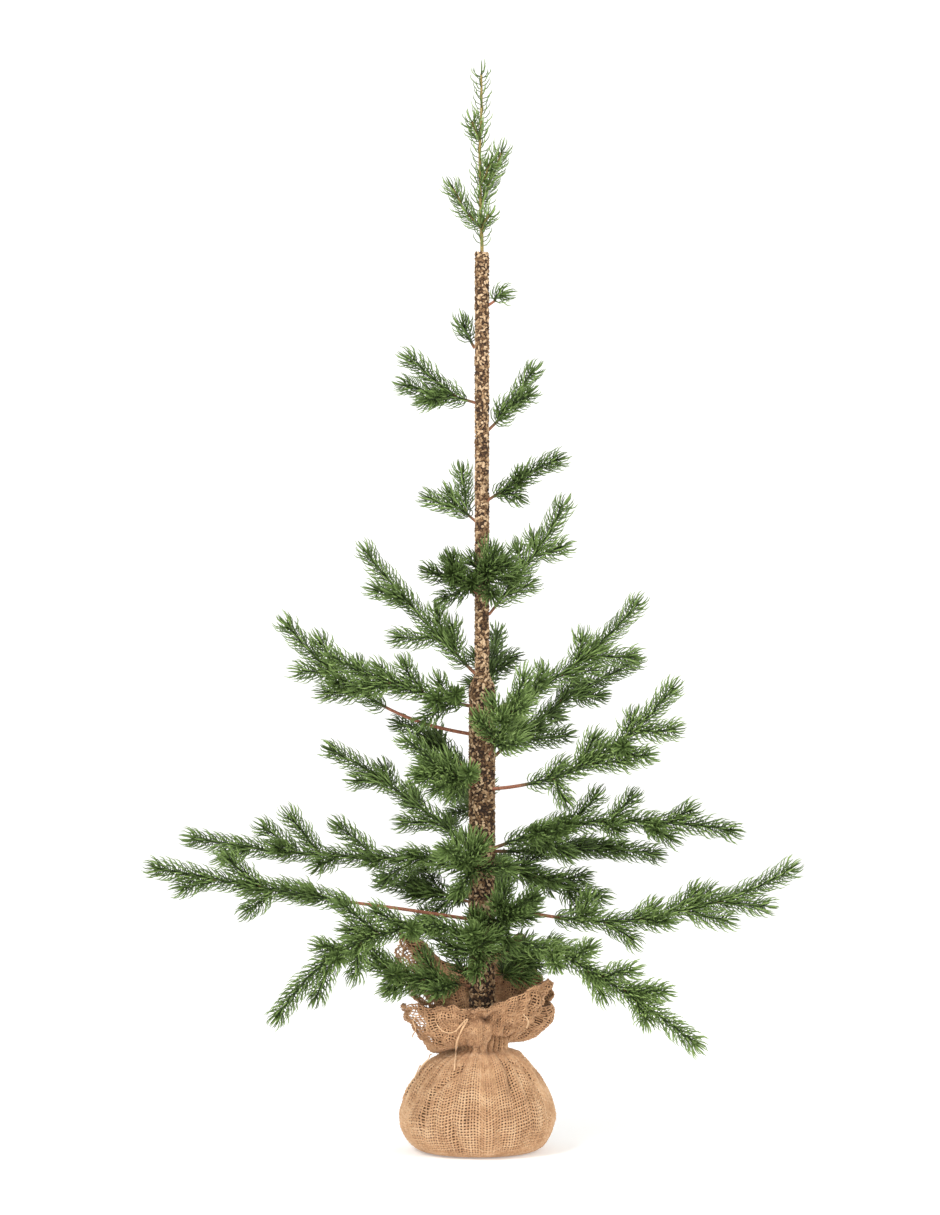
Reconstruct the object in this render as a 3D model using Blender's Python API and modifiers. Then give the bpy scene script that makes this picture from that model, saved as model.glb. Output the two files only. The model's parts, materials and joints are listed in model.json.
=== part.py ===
"""Artificial tabletop spruce in a burlap wrap, as an assembly of separate parts.

Metres, +Z up. The origin is on the trunk's axis, at the face that the burlap wrap stands on.
+X is to the right and +Y to the back. Each branch turns about a ball at its root on the trunk.
"""

import math
from collections import namedtuple

import bmesh
import bpy
from mathutils import Vector

# ---------------------------------------------------------------- driving dimensions
GAP = 0.0003                 # clearance between faces that meet
RUNNING_GAP = 0.0005         # clearance round a branch's root ball

TUB_RADIUS = 0.0540          # plastic tub that the ballast is cast in
TUB_FOOT_RADIUS = TUB_RADIUS - 0.0080
TUB_HEIGHT = 0.0440
TUB_WALL = 0.0014
BALLAST_DEPTH = TUB_HEIGHT - 0.0050
ROD_DEPTH = BALLAST_DEPTH - 0.0050          # how deep the rod stands in the ballast

CLOTH = 0.0020               # burlap
SACK_RADIUS = TUB_RADIUS + 0.0110           # widest radius of the burlap wrap
SACK_WIDE_HEIGHT = 0.66 * TUB_HEIGHT        # height of its widest point
SACK_FOOT_RADIUS = TUB_FOOT_RADIUS + 0.0040      # flat disc that it stands on
NECK_HEIGHT = CLOTH + TUB_HEIGHT + 0.0400   # top of the gathered neck
NECK_LENGTH = 0.0070
COLLAR_RADIUS = 0.0480       # mean rim of the open collar above the neck
COLLAR_RISE = 0.0540         # mean rise of that rim above the neck
TIE_RADIUS = 0.0014          # twine wound round the neck

LOWER_BARK_RADIUS = 0.0112
UPPER_BARK_RADIUS = 0.0062
TUBE_RADIUS = LOWER_BARK_RADIUS - 0.0024    # paper tube that thickens the lower trunk
NECK_RADIUS = LOWER_BARK_RADIUS + 0.0078    # gathers of cloth round the bark
ROD_RADIUS = 0.0030          # steel core rod
ROD_BELOW_TOP = 0.0045       # the rod ends this far under the top of the bark
TRUNK_TOP = 0.750            # upper end of the bark
TRUNK_STEP = NECK_HEIGHT + 0.47 * (TRUNK_TOP - NECK_HEIGHT)      # the thick lower trunk ends
STEP_TAPER = 0.016           # height over which the bark narrows there

STEM_RADIUS = 0.0012         # taped wire of a short branch
LONG_STEM_RADIUS = 0.0015    # taped wire of a long branch
BALL_FACTOR = 1.45           # root ball, times the wire's radius
ROOT_STAND_OFF = 0.0015      # root ball's centre, outside the bark
STEM_END_SHARE = 0.88        # the wire stops this far along the branch
STEM_PIECE = 0.035           # length of one straight piece of a bent wire

NEEDLE_ROOT_RADIUS = 0.0034  # needle envelope where a sprig begins
NEEDLE_RADIUS = 0.0066       # and at its widest
NEEDLE_TIP_RADIUS = 0.0030
NEEDLE_SWELL = 0.012         # length over which it widens, and narrows again
SWELL_LIMIT = 0.35           # the most of a short sprig's length that this may take
OUTER_WIDTH = 0.94           # width of the envelope before its tip, against its widest
NEEDLE_PIECE = 0.040         # length of one straight piece of the envelope
MOULDED_WIDTH = 0.92         # needles of a short branch, against those of a long one
SPRIG_WIDTH = 0.92           # needles of a side sprig, against those of its branch

BARK_SIDES = 16
SACK_SIDES = 28
ROD_SIDES = 12

# The collar's rim: compass heading (0 right, 90 back, 180 left), radius and rise above the neck.
COLLAR_RIM = [(0, 0.050, 0.054), (35, 0.054, 0.061), (62, 0.052, 0.086), (90, 0.048, 0.064),
              (118, 0.060, 0.064), (146, 0.076, 0.090), (180, 0.060, 0.054), (214, 0.066, 0.040),
              (250, 0.048, 0.036), (285, 0.044, 0.042), (325, 0.054, 0.052)]

# Each branch: its place on the trunk as a share of the way from neck to top, its heading, how
# steeply it leaves, how much it bends up (+) or down over its length, its length, and the bare
# wire before its needles begin. Each side sprig: share along the branch, clock direction round
# it (0 up, 90 the right hand side when looking outwards), angle away from it, and length.
Branch = namedtuple("Branch", "name place heading rise bend length bare sprigs")

WIRED_BRANCHES = [
    Branch("branch_01_left", 0.142, 224, 20, -70, 0.242, 0.024, [
        (0.31, 10, 26, 0.048), (0.44, 0, 44, 0.060), (0.52, 185, 56, 0.036),
        (0.60, 355, 34, 0.034), (0.64, 172, 38, 0.046), (0.40, 100, 40, 0.040)]),
    Branch("branch_02_right", 0.142, -44, -5, -27, 0.242, 0.036, [
        (0.36, 20, 40, 0.042), (0.44, 190, 38, 0.034), (0.50, 5, 30, 0.046),
        (0.61, 350, 24, 0.050), (0.28, 100, 42, 0.038), (0.68, 110, 28, 0.036)]),
    Branch("branch_03_left", 0.162, 197, 9, 2, 0.279, 0.106, [
        (0.46, 80, 32, 0.042), (0.60, 190, 46, 0.038), (0.64, 350, 30, 0.046),
        (0.78, 200, 24, 0.040)]),
    Branch("branch_04_right", 0.179, -9, -15, 48, 0.264, 0.050, [
        (0.26, 10, 62, 0.030), (0.34, 175, 34, 0.038), (0.46, 100, 36, 0.040),
        (0.54, 350, 28, 0.042), (0.60, 185, 28, 0.046), (0.70, 172, 24, 0.050)]),
    Branch("branch_05_left", 0.239, 177, -2, 11, 0.240, 0.024, [
        (0.18, 186, 34, 0.040), (0.32, 5, 40, 0.050), (0.52, 350, 50, 0.050),
        (0.60, 10, 32, 0.044), (0.76, 200, 26, 0.034)]),
    Branch("branch_06_left", 0.252, 150, 35, -10, 0.166, 0.016, [
        (0.20, 200, 36, 0.042), (0.36, 80, 40, 0.034), (0.54, 5, 34, 0.028),
        (0.60, 185, 30, 0.036)]),
    Branch("branch_07_right", 0.252, -20, 21, -33, 0.218, 0.016, [
        (0.20, 100, 44, 0.040), (0.30, 355, 34, 0.046), (0.48, 5, 42, 0.036),
        (0.60, 185, 30, 0.038), (0.70, 0, 30, 0.032)]),
    Branch("branch_08_right", 0.326, -33, 5, 44, 0.206, 0.034, [
        (0.28, 178, 76, 0.032), (0.40, 355, 34, 0.040), (0.46, 180, 24, 0.046),
        (0.57, 175, 38, 0.046), (0.66, 8, 34, 0.028), (0.70, 182, 34, 0.048)]),
    Branch("branch_09_right", 0.366, 32, 35, -14, 0.172, 0.016, [
        (0.12, 172, 30, 0.062), (0.45, 10, 28, 0.036), (0.54, 176, 30, 0.038)]),
    Branch("branch_10_left", 0.395, 184, 10, 44, 0.190, 0.076, [
        (0.46, 350, 40, 0.038), (0.50, 190, 30, 0.040), (0.62, 5, 26, 0.042),
        (0.64, 178, 34, 0.038)]),
    Branch("branch_11_right", 0.426, 2, 21, 34, 0.158, 0.018, [
        (0.28, 350, 66, 0.022), (0.38, 182, 26, 0.038), (0.48, 0, 36, 0.032),
        (0.55, 178, 40, 0.048)]),
    Branch("branch_12_left", 0.430, 211, 11, 14, 0.144, 0.014, [
        (0.14, 5, 52, 0.028), (0.32, 350, 34, 0.042), (0.40, 100, 38, 0.036),
        (0.54, 185, 28, 0.042)]),
    Branch("branch_13_left", 0.472, 156, 42, 8, 0.152, 0.014, [
        (0.14, 350, 42, 0.034), (0.24, 10, 30, 0.036), (0.28, 184, 46, 0.048),
        (0.56, 188, 28, 0.040)]),
]

MOULDED_BRANCHES = [
    Branch("spray_01_back", 0.076, 132, 48, -14, 0.090, 0.020, []),
    Branch("spray_02_left", 0.078, 203, 8, 20, 0.120, 0.014, [
        (0.32, 185, 30, 0.040), (0.44, 70, 40, 0.036), (0.60, 350, 28, 0.034)]),
    Branch("spray_03_right", 0.084, 26, 28, 0, 0.072, 0.012, [(0.36, 80, 38, 0.030)]),
    Branch("spray_04_front", 0.118, 262, 30, -10, 0.062, 0.010, [
        (0.26, 280, 50, 0.034), (0.30, 70, 50, 0.030)]),
    Branch("spray_05_right", 0.150, -64, 24, -6, 0.096, 0.012, [
        (0.34, 60, 40, 0.034), (0.46, 290, 36, 0.032)]),
    Branch("spray_06_left", 0.182, 148, 12, -6, 0.096, 0.012, [
        (0.34, 290, 38, 0.036), (0.48, 40, 36, 0.032)]),
    Branch("spray_07_back", 0.160, 84, 16, -4, 0.170, 0.012, [
        (0.32, 60, 38, 0.036), (0.44, 290, 38, 0.036), (0.56, 10, 34, 0.030)]),
    Branch("spray_08_front", 0.222, 248, 22, -10, 0.082, 0.010, [
        (0.24, 300, 50, 0.038), (0.32, 80, 48, 0.032), (0.40, 10, 40, 0.030)]),
    Branch("spray_09_right", 0.246, 24, 0, -4, 0.158, 0.022, [
        (0.32, 80, 38, 0.040), (0.46, 280, 36, 0.038), (0.58, 90, 32, 0.032)]),
    Branch("spray_10_right", 0.232, 4, -18, -2, 0.100, 0.014, [
        (0.34, 70, 40, 0.032), (0.62, 182, 44, 0.028)]),
    Branch("spray_11_back", 0.290, 98, 12, 6, 0.165, 0.012, [
        (0.28, 70, 40, 0.038), (0.38, 285, 38, 0.038), (0.54, 20, 32, 0.032)]),
    Branch("spray_12_left", 0.344, 148, 50, -44, 0.092, 0.024, [(0.40, 80, 36, 0.030)]),
    Branch("spray_13_left", 0.330, 224, 24, 6, 0.094, 0.010, [
        (0.16, 178, 76, 0.026), (0.24, 10, 42, 0.026), (0.34, 190, 34, 0.038)]),
    Branch("spray_14_front", 0.372, -54, 48, 10, 0.092, 0.016, [
        (0.34, 70, 46, 0.036), (0.42, 290, 46, 0.034), (0.50, 180, 40, 0.028)]),
    Branch("spray_15_back", 0.440, 84, 22, 10, 0.128, 0.012, [
        (0.30, 75, 40, 0.034), (0.40, 285, 38, 0.034)]),
    Branch("spray_16_right", 0.548, 8, 50, 12, 0.118, 0.010, [
        (0.14, 180, 30, 0.034), (0.38, 0, 50, 0.028), (0.50, 180, 40, 0.036)]),
    Branch("spray_17_left", 0.574, 212, 26, -10, 0.054, 0.008, [
        (0.24, 5, 42, 0.032), (0.30, 290, 46, 0.028)]),
    Branch("spray_18_front", 0.582, 284, 36, 0, 0.052, 0.008, [
        (0.28, 70, 52, 0.030), (0.30, 290, 52, 0.030)]),
    Branch("spray_19_left", 0.664, 152, 34, -22, 0.056, 0.008, [(0.16, 10, 50, 0.044)]),
    Branch("spray_20_right", 0.690, -30, 30, -8, 0.080, 0.008, [(0.12, 182, 36, 0.028)]),
    Branch("spray_21_right", 0.780, 16, 46, 14, 0.070, 0.008, [(0.14, 60, 50, 0.024)]),
    Branch("spray_22_left", 0.812, 192, 12, 4, 0.070, 0.008, [
        (0.18, 5, 24, 0.062), (0.30, 100, 46, 0.026)]),
    Branch("spray_23_left", 0.884, 172, 62, 10, 0.028, 0.006, []),
    Branch("spray_24_right", 0.936, -15, 34, 6, 0.022, 0.006, []),
]

# The leader stands in the open top of the bark. Clock 0 is left there and 180 right.
LEADER = Branch("leader", 1.0, 0, 90, 0, 0.158, 0.008, [
    (0.12, 3, 36, 0.052), (0.24, 182, 20, 0.060)])

# ---------------------------------------------------------------- colours of the materials
NEEDLE_GREEN = (0.075, 0.170, 0.055)
TAPE_BROWN = (0.210, 0.095, 0.060)
BARK_BROWN = (0.300, 0.150, 0.080)
JUTE = (0.500, 0.310, 0.170)
STEEL = (0.520, 0.530, 0.540)
CONCRETE = (0.450, 0.440, 0.420)
KRAFT_PAPER = (0.420, 0.300, 0.190)
BLACK_PLASTIC = (0.030, 0.030, 0.032)
TWINE = (0.430, 0.270, 0.150)


def clear_scene():
    """Removes what the start-up file holds."""
    for thing in list(bpy.data.objects):
        bpy.data.objects.remove(thing, do_unlink=True)


def new_collection(name):
    collection = bpy.data.collections.new(name)
    bpy.context.scene.collection.children.link(collection)
    return collection


def new_material(name, colour, roughness, metallic=0.0):
    material = bpy.data.materials.new(name)
    material.use_nodes = True
    shader = material.node_tree.nodes["Principled BSDF"]
    shader.inputs["Base Color"].default_value = (*colour, 1.0)
    shader.inputs["Roughness"].default_value = roughness
    shader.inputs["Metallic"].default_value = metallic
    return material


def add_part(name, data, collection, material=None):
    """A new object for a mesh or curve, in a collection, with its material."""
    part = bpy.data.objects.new(name, data)
    collection.objects.link(part)
    if material:
        data.materials.append(material)
    return part


def as_helper(thing):
    """Marks a cutter or a joined shape, which is no part by itself."""
    thing.hide_render = True
    thing.display_type = "WIRE"
    return thing


def weld_points(mesh, within=0.00001):
    """Joins a curve's loose caps to its sides."""
    work = bmesh.new()
    work.from_mesh(mesh)
    bmesh.ops.remove_doubles(work, verts=work.verts, dist=within)
    work.to_mesh(mesh)
    work.free()


def to_mesh(thing, collection, material=None):
    """Turns a curve or a modified object into a plain mesh object of the same name and place."""
    graph = bpy.context.evaluated_depsgraph_get()
    graph.update()
    mesh = bpy.data.meshes.new_from_object(thing.evaluated_get(graph))
    weld_points(mesh)
    name, place = thing.name, thing.matrix_world.copy()
    bpy.data.objects.remove(thing, do_unlink=True)
    mesh.materials.clear()
    solid = add_part(name, mesh, collection, material)
    solid.matrix_world = place
    return solid


def combine(part, other, operation):
    """Joins (UNION) or cuts (DIFFERENCE) a part with another object."""
    modifier = part.modifiers.new(operation.lower(), "BOOLEAN")
    modifier.operation = operation
    modifier.solver = "EXACT"
    modifier.object = other
    return modifier


def turned(name, profile, sides, collection, material=None):
    """A turned solid from a closed outline of (radius, height) points, outer side first, top down."""
    mesh = bpy.data.meshes.new(name)
    points = [(radius, 0.0, height) for radius, height in profile]
    closed_at_axis = profile[0][0] == 0.0 and profile[-1][0] == 0.0
    edges = [(i, i + 1) for i in range(len(points) - 1)]
    if not closed_at_axis:
        edges.append((len(points) - 1, 0))
    mesh.from_pydata(points, edges, [])
    part = add_part(name, mesh, collection, material)
    screw = part.modifiers.new("turn", "SCREW")
    screw.steps = sides
    screw.render_steps = sides
    screw.use_merge_vertices = True
    screw.merge_threshold = 0.00005
    screw.use_smooth_shade = True
    return part


def swept(name, centres, radii, bevel_resolution, collection):
    """A tube along a line, with its own radius at each point and closed ends."""
    curve = bpy.data.curves.new(name, "CURVE")
    curve.dimensions = "3D"
    curve.bevel_depth = max(radii)
    curve.bevel_resolution = bevel_resolution
    curve.use_fill_caps = True
    line = curve.splines.new("POLY")
    line.points.add(len(centres) - 1)
    for point, centre, radius in zip(line.points, centres, radii):
        point.co = (*centre, 1.0)
        point.radius = radius / max(radii)
    return add_part(name, curve, collection)


# ---------------------------------------------------------------- where branches run
def trunk_radius(height):
    return LOWER_BARK_RADIUS if height < TRUNK_STEP - STEP_TAPER else UPPER_BARK_RADIUS


def root_of(branch):
    """The centre of a branch's root ball: its joint."""
    height = NECK_HEIGHT + branch.place * (TRUNK_TOP - NECK_HEIGHT)
    if branch is LEADER:
        return Vector((0.0, 0.0, TRUNK_TOP))
    heading = math.radians(branch.heading)
    reach = trunk_radius(height) + ROOT_STAND_OFF
    return Vector((math.cos(heading) * reach, math.sin(heading) * reach, height))


def along(branch, share):
    """Point, direction, upward and right hand directions at a share of a branch's length."""
    heading, rise = math.radians(branch.heading), math.radians(branch.rise)
    bend = math.radians(branch.bend)
    angle = rise + bend * share
    outwards = Vector((math.cos(heading), math.sin(heading), 0.0))
    upwards = Vector((0.0, 0.0, 1.0))
    if branch.bend == 0:
        run = branch.length * share
        out, up = run * math.cos(rise), run * math.sin(rise)
    else:
        turn = branch.length / bend
        out = turn * (math.sin(angle) - math.sin(rise))
        up = turn * (math.cos(rise) - math.cos(angle))
    point = root_of(branch) + outwards * out + upwards * up
    direction = outwards * math.cos(angle) + upwards * math.sin(angle)
    above = upwards * math.cos(angle) - outwards * math.sin(angle)
    right = Vector((math.sin(heading), -math.cos(heading), 0.0))
    return point, direction, above, right


def sprig_ends(branch, sprig):
    """Where a side sprig starts and ends."""
    share, clock, spread, length = sprig
    point, direction, above, right = along(branch, share)
    clock, spread = math.radians(clock), math.radians(spread)
    aside = above * math.cos(clock) + right * math.sin(clock)
    way = direction * math.cos(spread) + aside * math.sin(spread)
    return point, point + way * length


# ---------------------------------------------------------------- branches
def make_stem(branch, radius, end_share, collection):
    """Taped wire with its root ball, as one mesh."""
    pieces = max(3, round(branch.length / STEM_PIECE))
    centres = [along(branch, end_share * i / pieces)[0] for i in range(pieces + 1)]
    wire = swept(branch.name + "_stem", centres, [radius] * len(centres), 1, collection)
    return to_mesh(wire, collection)


def make_ball(name, place, radius, collection):
    """Round root of a branch, or the cutter of its socket."""
    mesh = bpy.data.meshes.new(name)
    work = bmesh.new()
    bmesh.ops.create_uvsphere(work, u_segments=8, v_segments=6, radius=radius)
    bmesh.ops.translate(work, verts=work.verts, vec=place)
    work.to_mesh(mesh)
    work.free()
    return add_part(name, mesh, collection)


def needle_radii(length, scale):
    """Distances along a needle envelope and its radius there."""
    swell = min(NEEDLE_SWELL, length * SWELL_LIMIT)
    wide = NEEDLE_RADIUS * scale
    return [(0.0, NEEDLE_ROOT_RADIUS), (swell, wide), (length - swell, wide * OUTER_WIDTH),
            (length, NEEDLE_TIP_RADIUS)]


def make_needles(branch, scale, collection):
    """Envelope of the needles round a branch from its bare stretch on."""
    length = branch.length - branch.bare
    stations = needle_radii(length, scale)
    middle = max(0, round((length - 2 * NEEDLE_SWELL) / NEEDLE_PIECE) - 1)
    (first, wide), (last, narrow) = stations[1], stations[2]
    for i in range(middle):
        part_way = (i + 1) / (middle + 1)
        stations.insert(2 + i, (first + (last - first) * part_way, wide + (narrow - wide) * part_way))
    centres = [along(branch, (branch.bare + distance) / branch.length)[0]
               for distance, _ in stations]
    return to_mesh(swept(branch.name, centres, [radius for _, radius in stations], 1, collection),
                   collection)


def make_sprig(branch, number, scale, collection):
    """Needle envelope of one side sprig."""
    start, end = sprig_ends(branch, branch.sprigs[number])
    length = (end - start).length
    stations = needle_radii(length, scale)
    centres = [start + (end - start) * (distance / length) for distance, _ in stations]
    sprig = swept(f"{branch.name}_sprig_{number}", centres, [radius for _, radius in stations],
                  1, collection)
    return to_mesh(sprig, collection)


def hang_on_joint(branch, pieces, helpers):
    """Parents a branch's pieces to an empty at its joint."""
    joint = bpy.data.objects.new(branch.name + "_joint", None)
    helpers.objects.link(joint)
    joint.location = root_of(branch)
    joint.rotation_euler.z = math.radians(branch.heading)
    bpy.context.view_layer.update()
    for piece in pieces:
        piece.parent = joint
        piece.matrix_parent_inverse = joint.matrix_world.inverted()


def make_branch(branch, wired, parts, helpers, materials):
    """A branch: needles and their side sprigs on a wire that is its own part, or all in one."""
    radius = LONG_STEM_RADIUS if wired else STEM_RADIUS
    scale = 1.0 if wired else MOULDED_WIDTH
    needles = make_needles(branch, scale, parts)
    needles.data.materials.append(materials["needles"])
    for number in range(len(branch.sprigs)):
        sprig = as_helper(make_sprig(branch, number, scale * SPRIG_WIDTH, helpers))
        combine(needles, sprig, "UNION")
    ball = as_helper(make_ball(branch.name + "_root", root_of(branch), radius * BALL_FACTOR,
                               helpers))
    if not wired:
        stem = as_helper(make_stem(branch, radius, STEM_END_SHARE, helpers))
        combine(needles, stem, "UNION")
        combine(needles, ball, "UNION")
        hang_on_joint(branch, [needles], helpers)
        return
    needles.name = branch.name + "_needles"
    bore = as_helper(make_stem(branch, radius + GAP, STEM_END_SHARE + GAP / branch.length, helpers))
    bore.name = branch.name + "_bore"
    combine(needles, bore, "DIFFERENCE")
    stem = make_stem(branch, radius, STEM_END_SHARE, parts)
    stem.name = branch.name + "_wire"
    stem.data.materials.append(materials["tape"])
    combine(stem, ball, "UNION")
    hang_on_joint(branch, [needles, stem], helpers)


# ---------------------------------------------------------------- trunk
def tub_floor():
    """Height of the upper face of the tub's floor."""
    return CLOTH + GAP + TUB_WALL


def rod_foot():
    return tub_floor() + BALLAST_DEPTH - ROD_DEPTH


def make_trunk(parts, helpers, materials, branches):
    """Core rod, the tube round its lower part, and two bark sleeves with the branches' sockets."""
    rod_top = TRUNK_TOP - ROD_BELOW_TOP
    turned("core_rod", [(0.0, rod_top), (ROD_RADIUS, rod_top), (ROD_RADIUS, rod_foot()),
                        (0.0, rod_foot())], ROD_SIDES, parts, materials["steel"])
    bore = ROD_RADIUS + GAP
    foot = tub_floor() + BALLAST_DEPTH + 2 * GAP
    tube_top = TRUNK_STEP - STEP_TAPER
    turned("lower_trunk_tube", [(TUBE_RADIUS, tube_top), (TUBE_RADIUS, foot), (bore, foot),
                                (bore, tube_top)], BARK_SIDES, parts, materials["kraft_paper"])
    inner = TUBE_RADIUS + GAP
    lower = turned("lower_bark", [
        (UPPER_BARK_RADIUS, TRUNK_STEP), (LOWER_BARK_RADIUS, tube_top),
        (LOWER_BARK_RADIUS, foot), (inner, foot), (inner, tube_top + GAP),
        (bore, tube_top + GAP), (bore, TRUNK_STEP)], BARK_SIDES, parts, materials["bark"])
    upper = turned("upper_bark", [
        (UPPER_BARK_RADIUS, TRUNK_TOP), (UPPER_BARK_RADIUS, TRUNK_STEP + GAP),
        (bore, TRUNK_STEP + GAP), (bore, TRUNK_TOP)], BARK_SIDES, parts, materials["bark"])
    for branch in branches:
        radius = LONG_STEM_RADIUS if branch in WIRED_BRANCHES else STEM_RADIUS
        place = root_of(branch)
        socket = make_ball(branch.name + "_socket", place, radius * BALL_FACTOR + RUNNING_GAP,
                           helpers)
        combine(lower if place.z < TRUNK_STEP else upper, as_helper(socket), "DIFFERENCE")


# ---------------------------------------------------------------- foot and wrap
def make_foot(parts, materials):
    """Plastic tub and the ballast cast in it round the rod."""
    foot = CLOTH + GAP
    rim = foot + TUB_HEIGHT
    turned("ballast_tub", [
        (TUB_RADIUS, rim), (TUB_FOOT_RADIUS, foot), (0.0, foot), (0.0, foot + TUB_WALL),
        (TUB_FOOT_RADIUS - TUB_WALL, foot + TUB_WALL), (TUB_RADIUS - TUB_WALL, rim)],
        SACK_SIDES, parts, materials["black_plastic"])
    floor = tub_floor() + GAP
    top = tub_floor() + BALLAST_DEPTH
    lean = (TUB_RADIUS - TUB_FOOT_RADIUS) / TUB_HEIGHT
    side = TUB_FOOT_RADIUS - TUB_WALL - 2 * GAP
    hole = ROD_RADIUS + GAP
    turned("ballast", [
        (hole, top), (side + lean * BALLAST_DEPTH, top), (side, floor), (0.0, floor),
        (0.0, rod_foot() - GAP), (hole, rod_foot() - GAP)], SACK_SIDES, parts,
        materials["concrete"])


def rim_at(heading):
    """The collar's radius and rise at a heading, smoothly between the listed ones."""
    heading %= 360
    ring = COLLAR_RIM + [(COLLAR_RIM[0][0] + 360, *COLLAR_RIM[0][1:])]
    for (before, radius, rise), (after, next_radius, next_rise) in zip(ring, ring[1:]):
        if before <= heading <= after:
            ease = (1 - math.cos(math.pi * (heading - before) / (after - before))) / 2
            return radius + (next_radius - radius) * ease, rise + (next_rise - rise) * ease
    return COLLAR_RADIUS, COLLAR_RISE


def make_sack(parts, materials):
    """Burlap wrap: a full foot, a gathered neck and an open, uneven collar."""
    neck_foot = NECK_HEIGHT - NECK_LENGTH
    climb = neck_foot - SACK_WIDE_HEIGHT
    outside = [(COLLAR_RADIUS, NECK_HEIGHT + COLLAR_RISE)]
    for part_way in (0.66, 0.33):
        outside.append((NECK_RADIUS + (COLLAR_RADIUS - NECK_RADIUS) * part_way ** 0.8,
                        NECK_HEIGHT + COLLAR_RISE * part_way))
    outside += [(NECK_RADIUS, NECK_HEIGHT), (NECK_RADIUS, neck_foot)]
    for angle in (62, 42, 22, 0):
        lift = math.sin(math.radians(angle))
        reach = math.cos(math.radians(angle)) ** 0.9
        outside.append((NECK_RADIUS + (SACK_RADIUS - NECK_RADIUS) * reach,
                        SACK_WIDE_HEIGHT + climb * lift))
    for angle in (40, 70):
        drop = math.sin(math.radians(angle))
        reach = math.cos(math.radians(angle))
        outside.append((SACK_FOOT_RADIUS + (SACK_RADIUS - SACK_FOOT_RADIUS) * reach,
                        SACK_WIDE_HEIGHT * (1 - drop)))
    outside.append((SACK_FOOT_RADIUS, 0.0))
    throat = LOWER_BARK_RADIUS + 2 * GAP
    inside = [(max(throat, radius - CLOTH), height) for radius, height in outside]
    inside[-1] = (SACK_FOOT_RADIUS - CLOTH, CLOTH)
    inside[3], inside[4] = (throat, NECK_HEIGHT), (throat, neck_foot - CLOTH)
    profile = outside + [(0.0, 0.0), (0.0, CLOTH)] + inside[::-1]
    sack = turned("burlap_sack", profile, SACK_SIDES, parts)
    sack = to_mesh(sack, parts, materials["jute"])
    for vertex in sack.data.vertices:
        place = vertex.co
        share = (place.z - NECK_HEIGHT) / COLLAR_RISE
        if share > 0.01:
            heading = math.atan2(place.y, place.x)
            rim_radius, rim_rise = rim_at(math.degrees(heading))
            reach = math.hypot(place.x, place.y) + (rim_radius - COLLAR_RADIUS) * share ** 1.5
            place.x, place.y = reach * math.cos(heading), reach * math.sin(heading)
            place.z += (rim_rise - COLLAR_RISE) * share


def make_tie(parts, materials):
    """Twine round the gathered neck."""
    bpy.ops.mesh.primitive_torus_add(
        major_segments=24, minor_segments=6, major_radius=NECK_RADIUS + TIE_RADIUS + GAP,
        minor_radius=TIE_RADIUS, location=(0.0, 0.0, NECK_HEIGHT - NECK_LENGTH / 2))
    tie = bpy.context.active_object
    tie.name = "neck_twine"
    for collection in list(tie.users_collection):
        collection.objects.unlink(tie)
    parts.objects.link(tie)
    tie.data.materials.append(materials["twine"])


def main():
    clear_scene()
    parts, helpers = new_collection("tabletop_spruce"), new_collection("cutters")
    materials = {
        "needles": new_material("moulded_needles", NEEDLE_GREEN, 0.55),
        "tape": new_material("paper_tape", TAPE_BROWN, 0.85),
        "bark": new_material("bark_chips", BARK_BROWN, 0.85),
        "jute": new_material("burlap", JUTE, 0.95),
        "twine": new_material("jute_twine", TWINE, 0.95),
        "steel": new_material("steel", STEEL, 0.35, 1.0),
        "concrete": new_material("cast_cement", CONCRETE, 0.95),
        "kraft_paper": new_material("kraft_paper", KRAFT_PAPER, 0.90),
        "black_plastic": new_material("black_plastic", BLACK_PLASTIC, 0.45),
    }
    make_trunk(parts, helpers, materials, WIRED_BRANCHES + MOULDED_BRANCHES)
    make_foot(parts, materials)
    make_sack(parts, materials)
    make_tie(parts, materials)
    for branch in WIRED_BRANCHES + [LEADER]:
        make_branch(branch, True, parts, helpers, materials)
    for branch in MOULDED_BRANCHES:
        make_branch(branch, False, parts, helpers, materials)


main()
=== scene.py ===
# %% [markdown]
# # A slim artificial spruce in a burlap wrap
# The design is already settled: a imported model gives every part's place, size and joint. This file
# gives the parts their looks. It loads that model as a frame, keeps its box, and then works through
# the tree as a maker would: wires, needles, bark, and last the cloth round the foot.

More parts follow.
